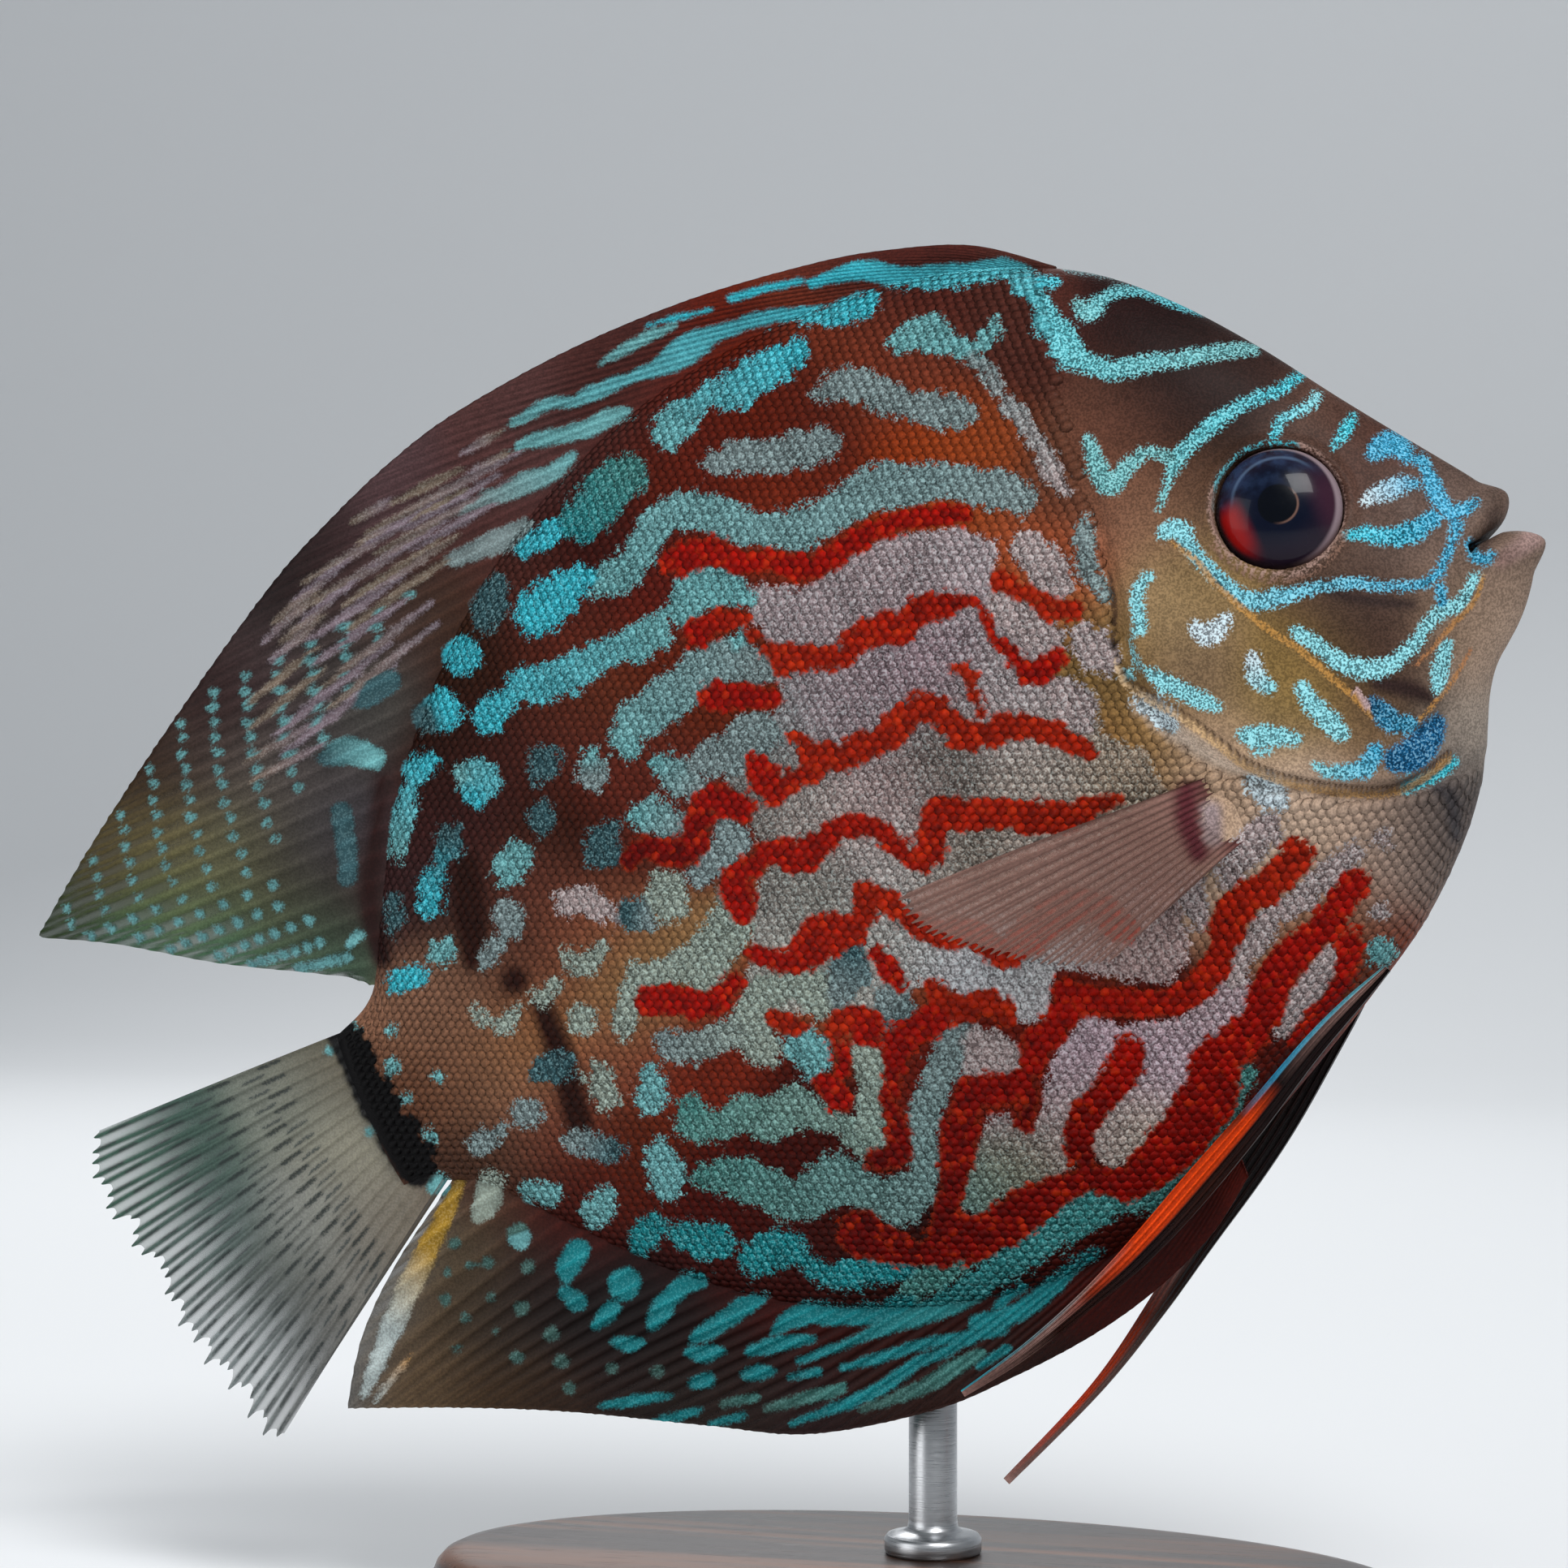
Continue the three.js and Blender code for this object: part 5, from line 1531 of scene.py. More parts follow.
# %% Coats of both flanks
PATCH_SIZE = 0.003
SEED_LEFT = 3
SEED_RIGHT = 8
scale_plate = make_plate()
scale_tree, scale_inputs = make_scale_tree()


def as_mesh(holder, name):
    """The evaluated result of an object's modifiers as a plain object of its own, and the holder removed."""
    evaluated = holder.evaluated_get(bpy.context.evaluated_depsgraph_get())
    mesh = bpy.data.meshes.new_from_object(evaluated)
    bpy.data.objects.remove(holder)
    mesh.name = name
    return add_object(name, mesh)


def read_stored(piece, name, kind, width):
    """The values stored on a piece under a name, as rows of this width."""
    layer = piece.data.attributes[name]
    flat = np.empty(len(layer.data) * width)
    layer.data.foreach_get(kind, flat)
    return flat.reshape(-1, width)


def lay_coat(name, side, seed):
    """One flank's scales, each with a patch of its own in the map at its root's place on the flank."""
    roots = scale_roots(side)
    mesh = bpy.data.meshes.new(name + "_roots")
    mesh.from_pydata([tuple(p) for p in to_scene(*roots[:, :3].T).tolist()], [], [])
    holder = add_object(name + "_roots", mesh)
    ways = {"outward": swing_to_scene(roots[:, 3:6]), "backward": swing_to_scene(roots[:, 6:9])}
    ways["unwrapped"] = np.hstack([roots[:, 10:12], np.zeros((len(roots), 1))])
    for key, values in ways.items():
        mesh.attributes.new(key, "FLOAT_VECTOR", "POINT").data.foreach_set("vector", values.ravel())
    store(holder, "size", roots[:, 9])
    modifier = holder.modifiers.new("scales", "NODES")
    modifier.node_group = scale_tree
    for key, value in {"Plate": scale_plate, "Finish": scale_material, "Seed": seed}.items():
        modifier[scale_inputs[key]] = value
    coat = as_mesh(holder, name)
    place = read_stored(coat, "unwrapped", "vector", 3)[:, :2]
    leaf = read_stored(coat, "leaf", "color", 4)[:, :2]
    corners = np.empty(len(coat.data.loops), int)
    coat.data.loops.foreach_get("vertex_index", corners)
    patches = (place + leaf * PATCH_SIZE)[corners]
    coat.data.uv_layers.new(name="OFBake").data.foreach_set("uv", patches.ravel())
    coat.data.polygons.foreach_set("use_smooth", np.ones(len(coat.data.polygons), bool))
    paint(coat)
    finish_piece(coat, scale_material, "skin")
    print(name, len(roots), "scales")


lay_coat("scales_right", -1, SEED_RIGHT)
lay_coat("scales_left", 1, SEED_LEFT)
bpy.data.objects.remove(scale_plate)

# %% [markdown]
# ## The fins
# A fin is a membrane held open by rays. Each fin here is one closed sheet: a middle surface given by a
# rule, a thickness that swells to a round ray and thins to a film between the rays, and a margin where the
# film is cut back between the ray tips. Soft rays fork towards the margin, so the ridge splits in two
# there. The rays of the dorsal and anal fins lean far back, so there the ridges run aslant across the
# sheet. The tail fin's edge is a little frayed.

# %% Fin sheet
FRAY_SEED = 5


def fork_ridge(position, reach, rays, fork):
    """1 on a ray and 0 between rays, with each ray split in two beyond the fork."""
    spot = position * rays
    off = np.abs(spot - np.round(spot))
    split = 0.21 * smoothstep(fork, 1.0, reach)
    width = 0.17 - 0.07 * smoothstep(fork, 1.0, reach)
    return np.exp(-(((off - split) / width) ** 2))


def sheet_faces(columns, rows):
    """Faces of a closed sheet: a front grid, the same grid turned round behind it, and a rim between them."""
    count = columns * rows
    faces = grid_faces(columns, rows, False)
    faces += [[count + a, count + d, count + c, count + b] for a, b, c, d in faces]
    rim = [i * rows for i in range(columns)] + [(columns - 1) * rows + j for j in range(1, rows)]
    rim += [i * rows + rows - 1 for i in range(columns - 2, -1, -1)] + list(range(rows - 2, 0, -1))
    for a, b in zip(rim, rim[1:] + rim[:1]):
        faces.append([a, count + a, count + b, b])
    return faces


def make_fin(name, middle, rays, rows, ray, film, clear, notch=0.0, fork=0.5, columns_per_ray=8, lean=0.0,
             fray=0.0, plain=None, marked=True, pale=(), fine=()):
    """A closed fin sheet.

    s runs from the first ray to the last, and t from root to margin. middle(s, t) gives (back, height,
    side), and ray and film are thicknesses at root and margin.
    """
    columns = rays * columns_per_ray + 1
    s, t = np.meshgrid(np.linspace(0, 1, columns), np.linspace(0, 1, rows), indexing="ij")
    ridge = fork_ridge(s - lean * t * (1 - s), t, rays, fork)
    cut = t * (1 - notch * (1 - fork_ridge(s - lean * (1 - s), np.ones_like(t), rays, fork)))
    torn = np.random.default_rng(FRAY_SEED).random(rays * 2 + 3)
    cut *= 1 - fray * np.interp(s * rays * 2 + 0.5, np.arange(len(torn)), torn) * t
    centre = middle(s, cut)
    normal = np.cross(np.gradient(centre, axis=0), np.gradient(centre, axis=1))
    normal /= np.maximum(np.linalg.norm(normal, axis=-1, keepdims=True), 1e-9)
    thin = film[0] + (film[1] - film[0]) * smoothstep(0, 0.5, t)
    thick = ray[0] + (ray[1] - ray[0]) * t
    half = 0.5 * (thin + (thick - thin) * ridge) * (1 - 0.6 * smoothstep(0.96, 1.0, t))
    both_sides = [(centre + way * normal * half[..., None]).reshape(-1, 3) for way in (1, -1)]
    fin = make_piece(name, to_scene(*np.vstack(both_sides).T), sheet_faces(columns, rows))
    ground = None if plain is None else np.tile(plain(s, t).reshape(-1, 3), (2, 1))
    strokes = (PALE_STROKES if marked else []) + list(pale)
    paint(fin, GROUND_DABS + FIN_DABS, ground, strokes, [], fine, marked)
    for key, values in {"ray": ridge, "reach": t, "clear": clear(s, t)}.items():
        store(fin, key, np.tile(values.ravel(), 2))
    return fin


# %% [markdown]
# ## Fin material
# Light passes through a fin. The film between the rays is partly clear, set by a number stored on each
# point, and the rays stay solid and a little darker. The colour comes from the same group as the coat, so a
# band runs off the flank and onto the fin unbroken.

# %% Fin material
FIBRES = 3000.0


def fin_material(name, ray_shade, film_lift, **values):
    """The shared bands on a film that lets light through between its rays."""
    material, tree, shader = new_material(name)
    bands = wear_bands(tree, Grain=2.0, **values)
    ridge = number(tree, "ray")
    fibre = noise(places(tree), FIBRES, 2.0)
    tone = ramp(plus(ridge, times(fibre, 0.35)), 0.1, 1.2, film_lift, ray_shade)
    surface(shader, levelled(bands["Color"], tone), bands["Roughness"], fibre, 0.6, 0.00008)
    solid = calc("MAXIMUM", ridge, ramp(number(tree, "pale"), -2.0, 3.0, 0.0, 0.8))
    open_film = times(number(tree, "clear"), minus(1.0, solid))
    tree.links.new(minus(1.0, open_film), shader.inputs["Alpha"])
    matte(shader, 0.1, 0.03, 0.25)
    return material


dark_fin_material = fin_material("dark_fin_membrane", 1.15, 0.85, Ragged=2.5, Glitter=0.2, Mottle=0.4)
clear_fin_material = fin_material("clear_fin_membrane", 1.08, 1.12, Ragged=2.0, Glitter=0.2, Mottle=0.3)
breast_fin_material = fin_material("pectoral_membrane", 0.62, 1.2, Ragged=2.0, Glitter=0.2, Mottle=0.3)
pelvic_material = fin_material("pelvic_fin_membrane", 1.2, 0.75, Ragged=2.0, Glitter=0.3, Mottle=0.35)

# %% Rules that the fins share
SWAY = 3.2
SWAY_FROM = 100.0


def ruled(start_at, end_at, out):
    """A middle surface of straight rays from a root line to a margin line, set to the side by out."""
    def middle(s, t):
        start = start_at(s)
        place = start + (end_at(s) - start) * t[..., None]
        return np.concatenate([place, out(place[..., 0], s, t)[..., None]], axis=-1)

    return middle


def sway(back, s, t):
    """The soft fins swing to the left towards the tail."""
    return SWAY * (np.maximum(0, back - SWAY_FROM) / 60) ** 2 * t


def two_part_margin(outer, rear, tip_share):
    """A margin in two stretches that meet at the tip of the fin."""
    outer_at, rear_at = along(outer), along(rear)

    def at(s):
        after_tip = rear_at((s - tip_share) / (1 - tip_share))
        return np.where((s < tip_share)[..., None], outer_at(s / tip_share), after_tip)

    return at


def film_dots(middle, gaps, reaches, tint, width, stretch=0.0, lean=0.0):
    """Dots or short dashes in the film between rays, as strokes in the picture."""
    strokes = []
    for gap in gaps:
        for reach in reaches(gap):
            t = np.array([reach, reach + stretch] if stretch else [reach])
            place = middle((gap + lean * t) / (1 + lean * t), t)
            strokes.append((tint, tint, [(x, y, width) for x, y in to_picture(to_scene(*place.T))]))
    return strokes


# %% Outlines of the dorsal and anal fins
DORSAL_BASE = [
    (29, 40.6), (36, 44.4), (45, 47.4), (56, 49), (70, 48.6), (82, 46), (93, 41.4), (103, 34.6), (112, 26.2),
    (118, 18), (122, 10.6),
]
DORSAL_OUTER = [
    (28, 42.4), (34.3, 48.2), (42, 52), (49.5, 54.6), (62.2, 57.6), (75.8, 59.3), (89.5, 59.5), (98.1, 58.4),
    (107, 56.2), (115.9, 53.3), (133.1, 45.7), (147, 39), (157.3, 33.4),
]
DORSAL_REAR = [(157.3, 33.4), (149, 28.6), (139, 21.6), (130, 16.2), (125, 13.4)]
ANAL_BASE = [
    (50, -39.6), (62, -42.4), (73, -42.6), (85, -39.6), (96, -34.4), (106, -26.8), (113, -19.4), (118, -13),
    (121.4, -8.6),
]
ANAL_OUTER = [
    (50.4, -44), (56, -47.4), (63, -49.8), (70.8, -51.2), (79.9, -51.6), (88.9, -51.2), (101.3, -48.2),
    (111, -43), (123.8, -35.9), (134.9, -30.6), (146.6, -25.6),
]
ANAL_REAR = [(146.6, -25.6), (141.4, -19.6), (134.2, -14.5), (125.9, -10.4)]
DORSAL_RAYS = 38
ANAL_RAYS = 34
LEAN = 0.42
dorsal_middle = ruled(along(DORSAL_BASE), two_part_margin(DORSAL_OUTER, DORSAL_REAR, 0.86), sway)
anal_middle = ruled(along(ANAL_BASE), two_part_margin(ANAL_OUTER, ANAL_REAR, 0.88), sway)

# %% [markdown]
# The rear lobe of the dorsal fin has a dot in the film at even steps along each gap between rays, and its
# front part has pale streaks that lie along the rays. The anal fin ends in a broad ray that runs from gold
# to white.

# %% Marks of the dorsal and anal fins
FIRST_DOTTED_GAP = 20
LAST_DOTTED_GAP = 37
DOT_WIDTH = 14


def dot_reaches(gap):
    """Shares of a ray's length with a dot, staggered from gap to gap."""
    return np.arange(0.36 + 0.05 * (int(gap * DORSAL_RAYS) % 2), 0.97, 0.09)


lobe_gaps = (np.arange(FIRST_DOTTED_GAP, LAST_DOTTED_GAP) + 0.5) / DORSAL_RAYS
lobe_dots = film_dots(dorsal_middle, lobe_gaps, dot_reaches, AQUA, DOT_WIDTH, lean=LEAN)
# Each streak is (across, down) at its two ends, and each is drawn twice, the second time a little lower.
FRONT_STREAKS = [
    (618, 531, 569, 559), (642, 556, 453, 657), (618, 583, 502, 651), (569, 577, 483, 620),
    (544, 614, 398, 706), (502, 644, 373, 718), (557, 632, 428, 718), (483, 614, 434, 644),
    (453, 669, 361, 742), (544, 663, 422, 748), (502, 706, 379, 791), (422, 693, 337, 767),
    (392, 730, 324, 791), (532, 742, 398, 846), (483, 791, 361, 889), (392, 797, 300, 871),
    (434, 828, 337, 907), (392, 889, 300, 938),
]
STREAK_SHIFTS = ((0, 0), (8, 26))


def streak(k, x0, y0, x1, y1):
    """One streak, thin at its ends, in one of the two paints or running from one to the other."""
    line = [(x0, y0, 5), ((x0 + x1) / 2, (y0 + y1) / 2, 12), (x1, y1, 6)]
    return ASHEN if k % 3 else SAND, SAND if k % 2 else ASHEN, line


front_streaks = [
    streak(k, x0 + dx, y0 + dy, x1 + dx, y1 + dy)
    for dx, dy in STREAK_SHIFTS
    for k, (x0, y0, x1, y1) in enumerate(FRONT_STREAKS)
]
DORSAL_MARKS = painted(
    (TEAL, AQUA, [(400, 935, 20), (430, 925, 36), (460, 935, 30)]),
    (TEAL,
     [(445, 865, 20), (462, 850, 34), (480, 838, 30)],
     [(420, 1000, 26), (428, 1050, 26), (428, 1080, 24)]),
    (AQUA, [(430, 1165, 10), (442, 1152, 16)]),
)
LAST_ANAL_RAY = painted(
    (GOLD, [(566, 1456, 14), (548, 1494, 24), (524, 1540, 30)]),
    (GOLD, CHALK, [(524, 1540, 30), (498, 1590, 32), (474, 1640, 30)]),
    (CHALK, [(474, 1640, 30), (452, 1688, 22), (434, 1724, 12)]),
    (OCHRE, CHALK, [(500, 1672, 5), (474, 1702, 7), (448, 1732, 6)]),
)


# %% Dorsal and anal fins
RAY_THICKNESS = (1.7, 0.55)
FILM_THICKNESS = (1.5, 0.28)


def dorsal_clear(s, t):
    return 0.6 * smoothstep(0.7, 0.97, s) * smoothstep(0.35, 0.9, t) + 0.06 * t


def anal_clear(s, t):
    return 0.45 * smoothstep(0.85, 1.0, s) * smoothstep(0.4, 1.0, t) + 0.06 * t


dorsal = make_fin(
    "dorsal_fin_membrane", dorsal_middle, DORSAL_RAYS, 44, RAY_THICKNESS, FILM_THICKNESS, dorsal_clear,
    notch=0.004, lean=LEAN, pale=lobe_dots + front_streaks + DORSAL_MARKS,
)
finish_piece(dorsal, dark_fin_material, "dark_fin", "dorsal_fin")
anal = make_fin(
    "anal_fin_membrane", anal_middle, ANAL_RAYS, 40, RAY_THICKNESS, FILM_THICKNESS, anal_clear,
    notch=0.004, lean=LEAN, pale=LAST_ANAL_RAY,
)
finish_piece(anal, dark_fin_material, "dark_fin", "anal_fin")

# %% Tail fin
CAUDAL_ROOT = [(125, 8.4), (125, 4), (125, 0), (125, -4), (125, -9.2)]
CAUDAL_MARGIN = [(163, 12.4), (163.4, 6), (162.8, -1), (161.6, -8), (159.8, -16.6), (156.4, -26)]
CAUDAL_RAYS = 16
DASH_WIDTH = 4
DASH_LENGTH = 0.07
caudal_middle = ruled(along(CAUDAL_ROOT), along(CAUDAL_MARGIN), sway)


def dash_reaches(gap):
    """Shares of a ray's length where a dash starts, staggered from gap to gap."""
    return 0.3 + 0.17 * np.arange(4) + 0.06 * (int(gap * 30) % 2)


def caudal_clear(s, t):
    return 0.12 + 0.6 * smoothstep(0.55, 1.0, t)


caudal_gaps = (np.arange(2 * CAUDAL_RAYS) + 0.5) / (2 * CAUDAL_RAYS)
caudal_dashes = film_dots(caudal_middle, caudal_gaps, dash_reaches, SMOKE, DASH_WIDTH, DASH_LENGTH)
caudal = make_fin(
    "tail_fin_membrane", caudal_middle, CAUDAL_RAYS, 46, (1.75, 0.36), (1.65, 0.3), caudal_clear,
    notch=0.03, fork=0.25, columns_per_ray=16, fray=0.07, fine=caudal_dashes,
)
finish_piece(caudal, clear_fin_material, "clear_fin", "caudal_fin")

# %% Pectoral fins
PECTORAL_ROOT = [(33.2, -9.4), (34.8, -16)]
PECTORAL_MARGIN = [(65, -6.7), (64.8, -9.8), (62, -13.2), (58, -16.6), (53.8, -19.4), (49.6, -21)]
PECTORAL_ROOT_SIDE = 9.4
PECTORAL_SPREAD = 8.2


def pectoral_colour(s, t):
    return WINE + (ROSE - WINE) * smoothstep(0.0, 0.22, t)[..., None]


def pectoral_clear(s, t):
    return 0.5 * smoothstep(0.05, 0.35, t) + 0.4 * smoothstep(0.2, 0.8, s) * t


def swing_out(side):
    """How far a pectoral fin stands away from the flank."""
    def out(back, s, t):
        return side * (PECTORAL_ROOT_SIDE + PECTORAL_SPREAD * np.sin(t * np.pi / 2) * (1 - 0.25 * s))

    return out


for side, name in ((-1, "right"), (1, "left")):
    middle = ruled(along(PECTORAL_ROOT), along(PECTORAL_MARGIN), swing_out(side))
    fin = make_fin(
        f"pectoral_membrane_{name}", middle, 14, 40, (1.1, 0.3), (0.7, 0.16), pectoral_clear,
        notch=0.04, fork=0.3, columns_per_ray=12, plain=pectoral_colour, marked=False,
    )
    finish_piece(fin, breast_fin_material, "clear_fin", f"pectoral_fin_{name}")

# %% Pelvic fins
PELVIC_RIGHT = [
    (29, -32.2, 3.4), (37.4, -35.3, 4.3), (46.8, -39.6, 4.6), (54.1, -42.7, 4.5), (60.6, -45.3, 4.2),
    (66.4, -47.2, 3.8), (76.4, -49.7, 3), (84.6, -50.9, 2.4),
]
PELVIC_RIGHT_WIDTH = [
    (0, 0.7), (0.08, 1.6), (0.2, 2.2), (0.45, 3.0), (0.6, 2.7), (0.75, 1.7), (0.9, 1.2), (1, 0.7),
]
PELVIC_LEFT = [
    (30.4, -29.6, 2.8), (34.4, -32.8, 3.8), (39.6, -36.2, 4.2), (46.8, -40.8, 4.4), (56.6, -46.4, 4.2),
    (65, -51.4, 3.8), (74, -56, 3.4), (86, -60.4, 2.6),
]
PELVIC_LEFT_WIDTH = [(0, 2.4), (0.2, 3.2), (0.4, 3.4), (0.6, 2.2), (0.8, 1.2), (1, 0.8)]


def pelvic_middle(line, widths, side):
    """A long blade round its middle line, as wide as the widths say."""
    line_at = along([(b, h, side * w) for b, h, w in line])
    width = profile(widths)

    def middle(s, t):
        ahead = line_at(np.clip(t + 0.01, 0, 1)) - line_at(np.clip(t - 0.01, 0, 1))
        across = np.stack([-ahead[..., 1], ahead[..., 0], 0 * t], axis=-1)
        across /= np.maximum(np.linalg.norm(across, axis=-1, keepdims=True), 1e-9)
        return line_at(t) - across * ((s - 0.5) * width(t))[..., None]

    return middle


def stops(t, *pairs):
    """A colour that runs through (share, colour) stops."""
    at = [share for share, _ in pairs]
    return np.stack([np.interp(t, at, [colour[k] for _, colour in pairs]) for k in range(3)], axis=-1)


def near_blade(s, t):
    edge = stops(
        t, (0, CYAN), (0.25, SKY), (0.33, EMBER), (0.4, ORANGE), (0.6, ORANGE), (0.72, PINK), (1, TURQUOISE),
    )
    core = stops(
        t, (0, PINK), (0.25, ASH), (0.33, ORANGE), (0.6, ORANGE), (0.72, EMBER), (0.8, PINK), (1, PINK),
    )
    web = stops(t, (0, ASH), (0.3, ASH), (0.45, UMBER), (0.6, ASH), (0.8, UMBER), (1, PINK))
    inner = core + (web - core) * smoothstep(0.5, 0.62, s)[..., None]
    return edge + (inner - edge) * smoothstep(0.14, 0.24, s)[..., None]


def far_blade(s, t):
    core = stops(
        t, (0, ASH), (0.25, UMBER), (0.4, ASH), (0.55, PINK), (0.66, EMBER), (0.85, ORANGE), (1, PINK),
    )
    web = stops(t, (0, ASH), (0.35, ASH), (0.6, UMBER), (1, PINK))
    return core + (web - core) * smoothstep(0.4, 0.7, s)[..., None]


def pelvic_clear(s, t):
    return 0.2 * t


for name, line, widths, side, blade in (
    ("right", PELVIC_RIGHT, PELVIC_RIGHT_WIDTH, -1, near_blade),
    ("left", PELVIC_LEFT, PELVIC_LEFT_WIDTH, 1, far_blade),
):
    fin = make_fin(
        f"pelvic_membrane_{name}", pelvic_middle(line, widths, side), 5, 110, (1.1, 0.45), (0.7, 0.3),
        pelvic_clear, fork=0.3, columns_per_ray=10, plain=blade, marked=False,
    )
    finish_piece(fin, pelvic_material, "pelvic_fin", f"pelvic_fin_{name}")

# %% [markdown]
# ## The eyes
# The eye is a flattened ball that bulges a little out of its socket. What makes it alive is its depth: a
# black pupil in a thin gold ring, a dark blue iris with a red crescent on the tail side, a pale ring where
# the clear skin meets it, a painted reflection of blue light on its top half with a pale blue arc in it,
# and a wet surface over all. The ball is a set of rings round its own axis, and each point keeps its place
# across the eye, so the iris is painted on the eye's own plan.

# %% Eye meshes
EYE_RINGS = 40
EYE_AROUND = 72


def make_eye(name, side):
    centre, turn = eye_frame(side)
    polar = np.linspace(0, np.pi, EYE_RINGS)[1:-1, None]
    round_angle = np.linspace(0, 2 * np.pi, EYE_AROUND, endpoint=False)[None, :]
    along_eye, up_eye = np.sin(polar) * np.cos(round_angle), np.sin(polar) * np.sin(round_angle)
    body = np.stack([along_eye, side * np.cos(polar) + 0 * round_angle, up_eye], axis=-1).reshape(-1, 3)
    local = np.vstack([body, [[0, side, 0], [0, -side, 0]]])
    axes = (local * [EYE_RADIUS, EYE_DEPTH, EYE_RADIUS]) @ turn.T + centre
    points = to_scene(-axes[:, 0], axes[:, 2], axes[:, 1])
    eye = make_piece(name, points, closed_faces(EYE_RINGS - 2, EYE_AROUND))
    store(eye, "eye_along", local[:, 0])
    store(eye, "eye_up", local[:, 2])
    return eye


def make_eye_material():
    """Iris, pupil, red crescent, pale outer ring and a painted reflection of blue light on the top, under a
    wet clear coat.
    """
    material, tree, shader = new_material("wet_eye")
    ahead, up = number(tree, "eye_along"), number(tree, "eye_up")

    def reach_from(centre_ahead, centre_up):
        """Distance across the eye from a place on it."""
        off = [calc("POWER", minus(a, b), 2.0) for a, b in ((ahead, centre_ahead), (up, centre_up))]
        return calc("SQRT", plus(*off))

    def ring_round(reach, ring_radius, width):
        """A thin ring on the eye, as a mask."""
        return ramp(calc("ABSOLUTE", minus(reach, ring_radius)), width, 0.0)

    radius = reach_from(0.0, 0.0)
    cloud = noise(places(tree), 700.0, 3.0)
    iris = blend(ramp(radius, 0.45, 0.95), shade(6, 12, 30), shade(30, 20, 34))
    # Painted reflection: the top half of the iris lightened to a cloudy blue.
    painted_top_reflection = times(ramp(up, 0.0, 0.8), ramp(cloud, 0.35, 0.65), 0.5)
    iris = blend(painted_top_reflection, iris, shade(46, 66, 100))
    tailward = ramp(times(ahead, -1.0), 0.42, 0.74)
    below = times(ramp(up, 0.45, 0.1), ramp(up, -0.8, -0.3))
    iris = blend(times(tailward, below, ramp(radius, 0.96, 0.88)), iris, shade(140, 12, 12))
    noseward = times(ramp(ahead, 0.35, 0.75), ramp(up, 0.5, -0.2), 0.5)
    iris = blend(noseward, iris, shade(70, 34, 50))
    pupil_reach = reach_from(0.02, -0.06)
    iris = blend(ramp(pupil_reach, 0.34, 0.30), iris, shade(3, 6, 14))
    lower_nose = times(ramp(minus(ahead, up), 0.1, 0.5), 0.7)
    iris = blend(times(ring_round(pupil_reach, 0.31, 0.03), lower_nose), iris, shade(128, 96, 84))
    # Painted reflection: a pale blue arc on the upper iris.
    painted_reflection_arc = times(ring_round(reach_from(0.05, 0.0), 0.74, 0.05), ramp(up, 0.2, 0.6, 0.0, 0.5))
    iris = blend(painted_reflection_arc, iris, shade(90, 112, 140))
    outer_ring = ramp(plus(radius, times(ahead, 0.05)), 0.92, 0.985)
    pale = blend(ramp(ahead, -0.4, 0.5), shade(52, 38, 46), shade(140, 122, 128))
    tree.links.new(blend(outer_ring, iris, pale), shader.inputs["Base Color"])
    tree.links.new(ramp(cloud, 0.3, 0.7, 0.2, 0.3), shader.inputs["Roughness"])
    matte(shader, 0.08, 0.16, 0.05)
    return material


eye_material = make_eye_material()
for side, name in ((-1, "right"), (1, "left")):
    eye = make_eye(f"eye_ball_{name}", side)
    finish_piece(eye, eye_material, "eye", f"eye_{name}")

# %% [markdown]
# ## The stand
# The stand is plain furniture: a turned oval base in dark oiled wood, with a soft round over its top edge
# and a shallow step below it, and a brushed steel rod with a small collar. Both are closed forms swept
# round an upright axis: the base round an oval and the rod round a circle.

# %% Stand
BASE_HALF_LENGTH = 50.0
BASE_HALF_DEPTH = 30.0
BASE_HEIGHT = 8.0
ROD_SIDE = 5.6
ROD_RADIUS = 2.4
ROD_INTO_BASE = 3.5
ROD_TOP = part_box("stand_rod")[1].z / METRE
# The base's edge from the floor up: inset from the full outline, and height.
BASE_SECTION = [
    (1.2, 0.0), (0.4, 0.35), (0.0, 1.0), (0.0, 2.6), (0.3, 3.0), (0.9, 3.2), (0.9, 3.7), (0.5, 4.0),
    (0.35, 4.6), (0.45, 5.6), (0.85, 6.6), (1.6, 7.4), (2.6, 7.85), (3.8, 8.0), (12.0, 8.0), (22.0, 8.0),
]
# The collar on the base: radius, and height above the base.
COLLAR = [
    (ROD_RADIUS, 0.0), (4.6, 0.02), (4.8, 0.3), (4.8, 1.5), (4.5, 1.9), (3.0, 2.2), (2.5, 2.6),
    (ROD_RADIUS, 3.4),
]


def turned_form(name, levels, side, count):
    """A closed form of ovals, each (half length, half depth, height), round an upright axis."""
    turn = np.linspace(0, 2 * np.pi, count, endpoint=False)
    rows = [
        np.stack([a * np.cos(turn), side + b * np.sin(turn), np.full(count, height)], axis=-1)
        for a, b, height in levels
    ]
    ends = [[0, side, levels[0][2]], [0, side, levels[-1][2]]]
    return make_piece(name, np.vstack(rows + [ends]) * METRE, closed_faces(len(rows), count))


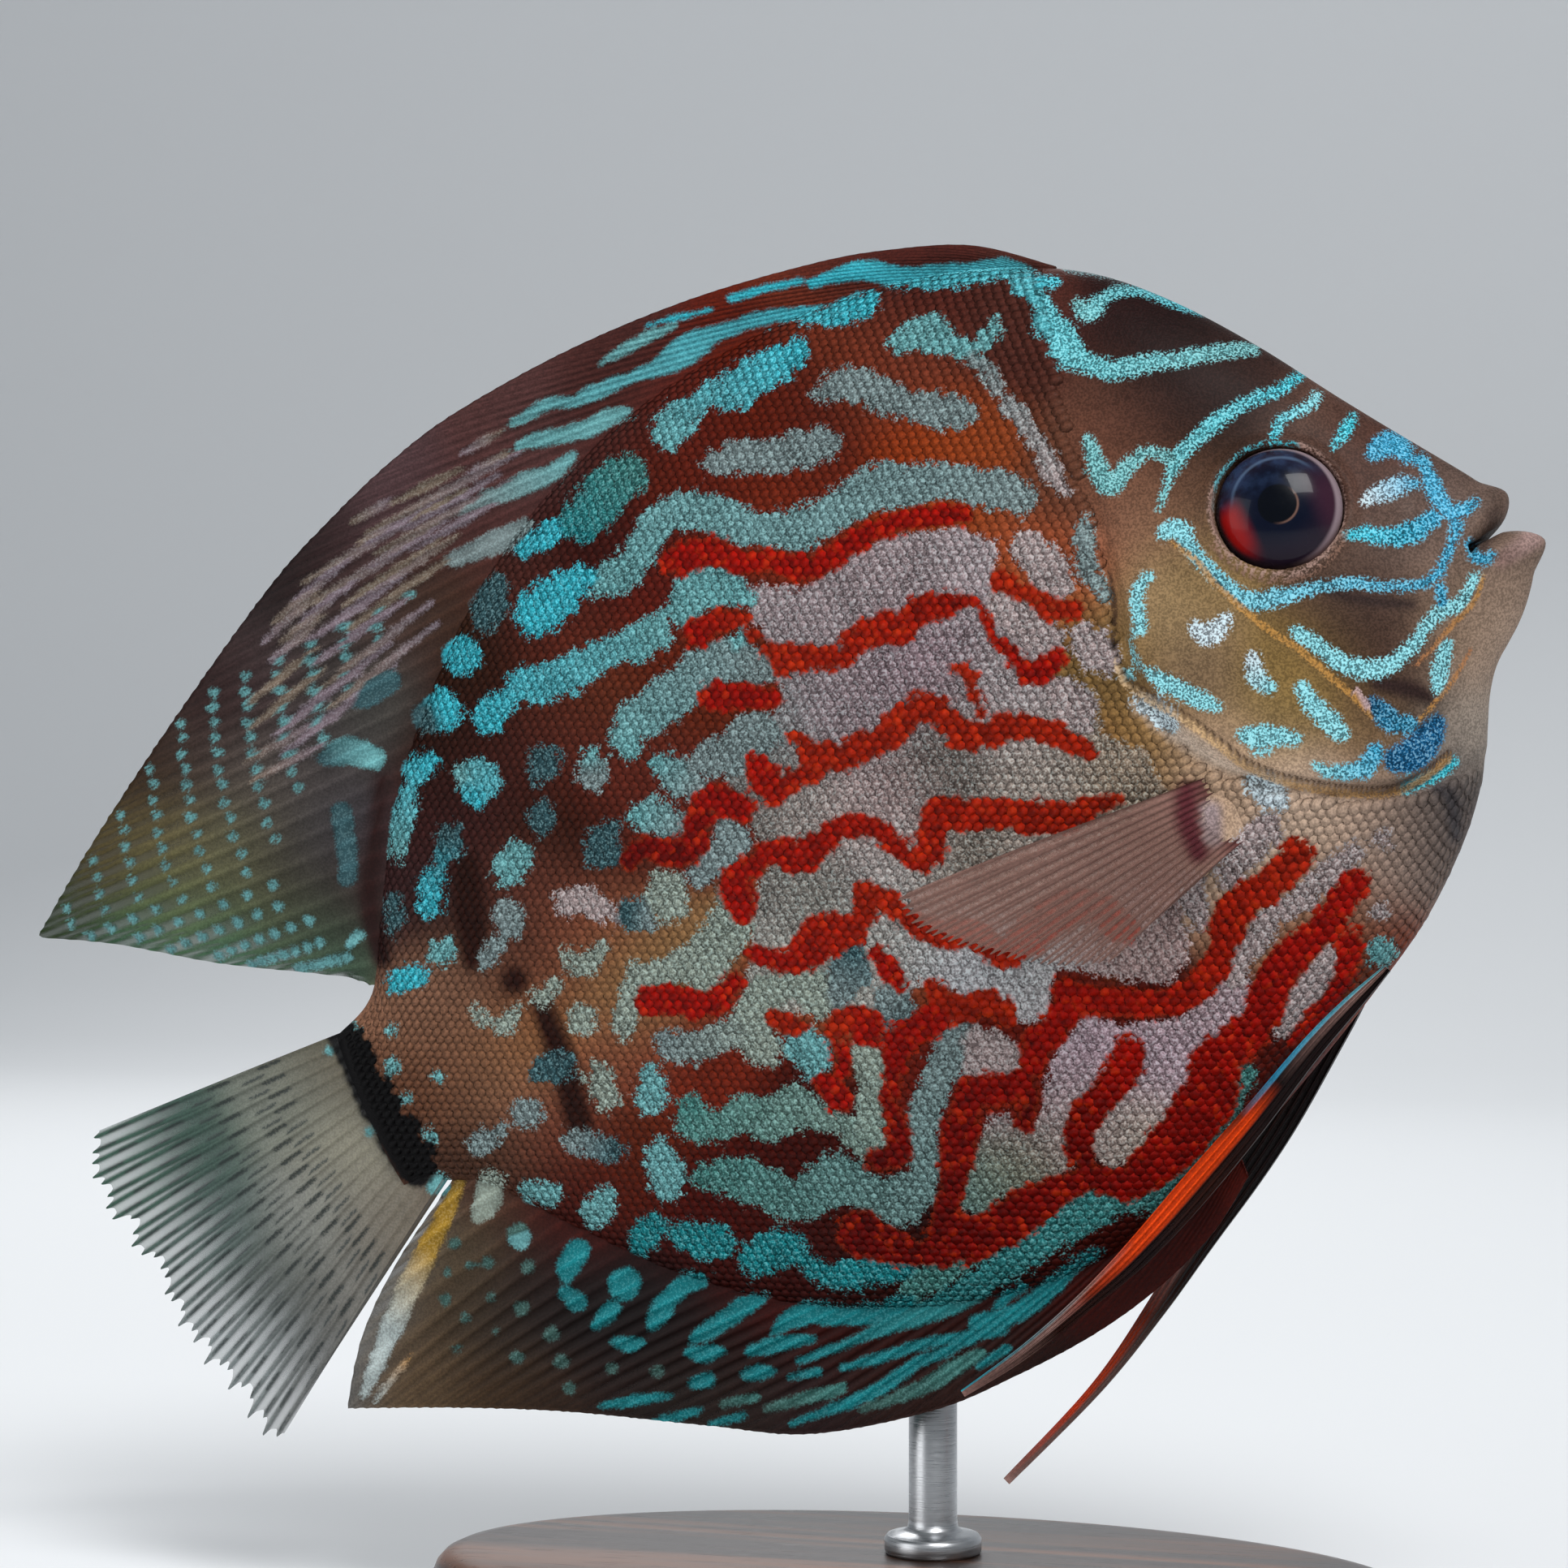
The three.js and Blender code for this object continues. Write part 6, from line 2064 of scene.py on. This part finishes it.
def wood_material():
    """Long figure along the base, faint growth rings and dark pores."""
    material, tree, shader = new_material("oiled_walnut")
    where = places(tree)
    figure = noise(stretched(where, 14.0, 190.0, 190.0), 1.0, 6.0, 0.7)
    rings = calc("SINE", times(noise(stretched(where, 3.0, 60.0, 60.0), 1.0, 2.0), 46.0))
    share = plus(times(figure, 0.75), times(rings, 0.14))
    pore = ramp(noise(stretched(where, 120.0, 2400.0, 2400.0), 1.0, 2.0), 0.62, 0.72)
    wood = blend(ramp(share, 0.25, 0.62), shade(44, 26, 17), shade(112, 70, 44))
    wood = blend(times(pore, 0.6), wood, shade(24, 13, 9))
    surface(shader, wood, ramp(share, 0.2, 0.8, 0.34, 0.5), minus(share, pore), 0.5, 0.0002)
    shader.inputs["Coat Weight"].default_value = 0.25
    shader.inputs["Coat Roughness"].default_value = 0.22
    return material


def steel_material():
    """Steel with fine marks of the lathe round it."""
    material, tree, shader = new_material("brushed_steel")
    lines = noise(stretched(places(tree), 300.0, 300.0, 9000.0), 1.0, 3.0)
    steel = blend(lines, shade(150, 152, 156), shade(214, 216, 218))
    surface(shader, steel, ramp(lines, 0.3, 0.7, 0.26, 0.42), lines, 0.4, 0.00005)
    shader.inputs["Metallic"].default_value = 1.0
    return material


base_levels = [(BASE_HALF_LENGTH - inset, BASE_HALF_DEPTH - inset, height) for inset, height in BASE_SECTION]
base = turned_form("stand_base_wood", base_levels, 0.0, 160)
finish_piece(base, wood_material(), "stand_wood", "stand_base")
rod_levels = [(radius, radius, BASE_HEIGHT + height) for radius, height in COLLAR]
rod_levels.insert(0, (ROD_RADIUS, ROD_RADIUS, BASE_HEIGHT - ROD_INTO_BASE))
rod_levels.append((ROD_RADIUS, ROD_RADIUS, ROD_TOP))
rod = turned_form("stand_rod_steel", rod_levels, ROD_SIDE, 56)
finish_piece(rod, steel_material(), "stand_steel", "stand_rod")

# %% [markdown]
# ## Floor and light
# The studio is quiet: a pale floor that rises into a pale wall, one large soft light high on the camera's
# side, a weaker one from the left to open the shadows, one from behind for the rim, and a little light from
# all round.

# %% Floor and lights
FLOOR_HALF = 3.0
WALL_AT = 1.2
WALL_HEIGHT = 2.4
BEND_RADIUS = 0.5
BEND_PARTS = 12
LIT_POINT = (0.0, 0.0, 0.08)


def make_floor():
    """A floor that curves up into a wall behind."""
    curve = [(-FLOOR_HALF, 0.0), (WALL_AT - BEND_RADIUS, 0.0)]
    for k in range(1, BEND_PARTS + 1):
        angle = k / BEND_PARTS * math.pi / 2
        forward = WALL_AT - BEND_RADIUS + BEND_RADIUS * math.sin(angle)
        curve.append((forward, BEND_RADIUS - BEND_RADIUS * math.cos(angle)))
    curve.append((WALL_AT, WALL_HEIGHT))
    points = [(x, y, z) for y, z in curve for x in (-FLOOR_HALF, FLOOR_HALF)]
    faces = [[2 * k, 2 * k + 1, 2 * k + 3, 2 * k + 2] for k in range(len(curve) - 1)]
    mesh = bpy.data.meshes.new("floor")
    mesh.from_pydata(points, [], faces)
    mesh.polygons.foreach_set("use_smooth", np.ones(len(faces), bool))
    paper, _, shader = new_material("pale_paper")
    shader.inputs["Base Color"].default_value = shade(236, 238, 240)
    shader.inputs["Roughness"].default_value = 0.9
    mesh.materials.append(paper)
    add_object("floor", mesh)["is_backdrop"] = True


def add_light(name, place, power, size):
    light = bpy.data.lights.new(name, "AREA")
    light.energy = power
    light.size = size
    holder = add_object(name, light)
    holder.location = place
    holder.rotation_euler = (Vector(LIT_POINT) - Vector(place)).to_track_quat("-Z", "Y").to_euler()


make_floor()
add_light("key", (0.35, -0.5, 0.8), 6.8, 0.4)
add_light("fill", (-0.7, -0.6, 0.3), 2.2, 0.6)
add_light("back", (-0.3, 0.6, 0.6), 2.6, 0.4)
world = bpy.data.worlds.new("studio")
world.use_nodes = True
sky = world.node_tree.nodes["Background"].inputs
sky["Color"].default_value = (0.9, 0.95, 1.0, 1.0)
sky["Strength"].default_value = 0.3
bpy.context.scene.world = world

# %% [markdown]
# ## Sizes
# The box round the solids and the box round the finished model are both printed.

# %% Sizes and the end
shown_box = [list(corner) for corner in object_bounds()]
for label, pair in (("solids", cad_box), ("shown", shown_box)):
    print(label, [[round(v * 1000, 1) for v in corner] for corner in pair])
